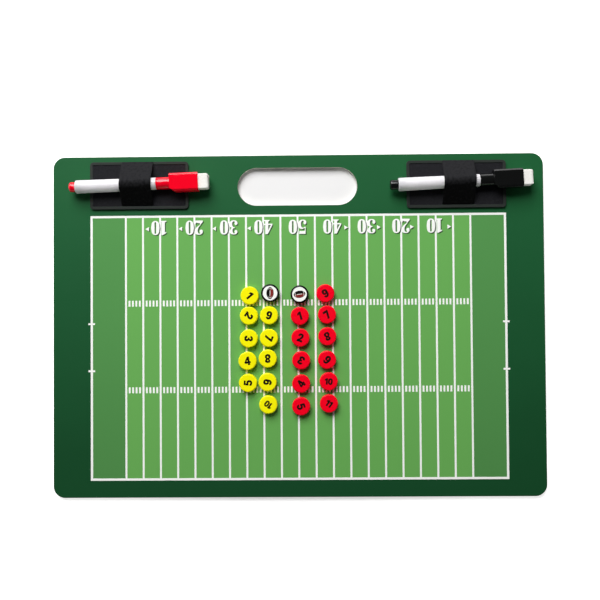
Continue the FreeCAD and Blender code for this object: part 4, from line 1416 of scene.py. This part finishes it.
class TACTICS_OT_stage(bpy.types.Operator):
    """Set up the floor, the light and the camera"""

    bl_idname = "tactics.stage"
    bl_label = "Stage"

    def execute(self, context):
        scene = context.scene
        sizes = scene.tactics_stage
        scene.view_settings.view_transform = "Standard"
        self.floor(scene.tactics_colours.floor)
        self.world(scene, sizes)
        self.lamp(sizes.key_power, sizes.key_size)
        self.camera(scene, sizes.focal_length)
        return {"FINISHED"}

    def floor(self, tone):
        """A wide pale floor just under the board, which reads as white where the light falls off."""
        bpy.ops.object.select_all(action="DESELECT")
        bpy.ops.mesh.primitive_plane_add(size=FLOOR_SIDE, location=(0, 0, CAD_LOW.z - FLOOR_GAP))
        floor = bpy.context.object
        floor.name = "floor"
        finish = Finish("floor_paper", roughness=0.9, specular_ior_level=0.1, emission_color=WHITE)
        finish.tint(finish.noise(3.0, 2.0), shade(tone, 0.99), shade(tone, 1.01))
        glow = finish.add("ValToRGB")
        stops = glow.color_ramp.elements
        for index, (reach, strength) in enumerate(FLOOR_GLOW):
            stop = stops[index] if index < 2 else stops.new(reach)
            stop.position = reach
            stop.color = (strength, strength, strength, 1.0)
        span = finish.add("VectorMath")
        span.operation = "DISTANCE"
        span.inputs[1].default_value = GLOW_SPOT
        finish.links.new(finish.spot, span.inputs[0])
        finish.links.new(span.outputs["Value"], glow.inputs["Fac"])
        lift = finish.add("Math")
        lift.operation = "MULTIPLY"
        finish.links.new(glow.outputs["Color"], lift.inputs[0])
        finish.links.new(self.seen_rays(finish.nodes, finish.links), lift.inputs[1])
        finish.links.new(lift.outputs["Value"], finish.shader.inputs["Emission Strength"])
        floor.data.materials.append(finish.material)

    def seen_rays(self, nodes, links):
        """One for what the eye sees straight, mirrored or through glass, nought for other light."""
        rays = nodes.new("ShaderNodeLightPath")
        found = rays.outputs["Is Camera Ray"]
        for name in ("Is Glossy Ray", "Is Transmission Ray"):
            either = nodes.new("ShaderNodeMath")
            either.operation = "MAXIMUM"
            links.new(found, either.inputs[0])
            links.new(rays.outputs[name], either.inputs[1])
            found = either.outputs["Value"]
        return found

    def world(self, scene, sizes):
        """White for the eye, a room bright on the lamp's side for reflections, a soft light for the rest."""
        world = scene.world or bpy.data.worlds.new("studio")
        scene.world = world
        world.use_nodes = True
        nodes, links = world.node_tree.nodes, world.node_tree.links
        where = nodes.new("ShaderNodeTexCoord").outputs["Generated"]
        lean = nodes.new("ShaderNodeMapping")
        lean.inputs["Rotation"].default_value = (math.radians(ROOM_LEAN), 0, 0)
        links.new(where, lean.inputs["Vector"])
        light = self.room(nodes, links, where, (sizes.horizon, sizes.ambient), LIT_END)
        mirrored = self.room(nodes, links, lean.outputs["Vector"], (1.0, sizes.zenith), MIRRORED_END)
        backdrop = nodes["Background"]
        backdrop.inputs["Color"].default_value = WHITE
        rays = nodes.new("ShaderNodeLightPath")
        sight = light.outputs["Background"]
        views = (("Is Glossy Ray", mirrored), ("Is Transmission Ray", backdrop), ("Is Camera Ray", backdrop))
        for name, view in views:
            mix = nodes.new("ShaderNodeMixShader")
            links.new(rays.outputs[name], mix.inputs["Fac"])
            links.new(sight, mix.inputs[1])
            links.new(view.outputs["Background"], mix.inputs[2])
            sight = mix.outputs["Shader"]
        links.new(sight, nodes["World Output"].inputs["Surface"])

    def room(self, nodes, links, where, greys, end):
        """Light that changes from the grey of the walls to that of the ceiling at a height."""
        split = nodes.new("ShaderNodeSeparateXYZ")
        links.new(where, split.inputs["Vector"])
        ramp = nodes.new("ShaderNodeValToRGB")
        for stop, grey in zip(ramp.color_ramp.elements, greys):
            stop.color = (grey, grey, grey, 1.0)
        ramp.color_ramp.elements[1].position = end
        links.new(split.outputs["Z"], ramp.inputs["Fac"])
        glow = nodes.new("ShaderNodeBackground")
        links.new(ramp.outputs["Color"], glow.inputs["Color"])
        return glow

    def lamp(self, power, size):
        """A square soft lamp that looks at the middle of the board."""
        data = bpy.data.lights.new("key_lamp", "AREA")
        data.energy = power
        data.size = size
        lamp = bpy.data.objects.new("key_lamp", data)
        lamp.location = LAMP_SPOT
        lamp.rotation_euler = (-Vector(LAMP_SPOT)).to_track_quat("-Z", "Y").to_euler()
        bpy.context.collection.objects.link(lamp)

    def camera(self, scene, focal_length):
        """The camera over the board, nearly square to it."""
        data = bpy.data.cameras.new("camera")
        data.sensor_width = SENSOR_WIDTH
        data.lens = focal_length
        camera = bpy.data.objects.new("camera", data)
        camera.location = CAMERA_SPOT
        camera.rotation_euler = [math.radians(angle) for angle in CAMERA_TURN]
        bpy.context.collection.objects.link(camera)
        scene.camera = camera


OPERATORS = (
    TACTICS_OT_board,
    TACTICS_OT_field,
    TACTICS_OT_numbers,
    TACTICS_OT_plates,
    TACTICS_OT_loops,
    TACTICS_OT_markers,
    TACTICS_OT_caps,
    TACTICS_OT_magnets,
    TACTICS_OT_stage,
)


class TACTICS_PT_panel(bpy.types.Panel):
    """The board's steps and settings in the sidebar"""

    bl_idname = "TACTICS_PT_panel"
    bl_label = "Tactics board"
    bl_space_type = "VIEW_3D"
    bl_region_type = "UI"
    bl_category = "Tactics board"

    def draw(self, context):
        for operator in OPERATORS:
            self.layout.operator(operator.bl_idname)
        for name, group in GROUPS:
            box = self.layout.box()
            for setting in group.__annotations__:
                box.prop(getattr(context.scene, name), setting)


def register():
    """Makes the settings, operators and panel known."""
    for name, group in GROUPS:
        bpy.utils.register_class(group)
        setattr(bpy.types.Scene, name, PointerProperty(type=group))
    for item in (*OPERATORS, TACTICS_PT_panel):
        bpy.utils.register_class(item)


def unregister():
    """Takes them away again."""
    for item in (TACTICS_PT_panel, *reversed(OPERATORS)):
        bpy.utils.unregister_class(item)
    for name, group in reversed(GROUPS):
        delattr(bpy.types.Scene, name)
        bpy.utils.unregister_class(group)


def main():
    register()
    bpy.ops.tactics.board()
    bpy.ops.tactics.field()
    bpy.ops.tactics.numbers()
    bpy.ops.tactics.plates()
    bpy.ops.tactics.loops()
    bpy.ops.tactics.markers()
    bpy.ops.tactics.caps()
    bpy.ops.tactics.magnets()
    bpy.ops.tactics.stage()


if __name__ == "__main__":
    main()
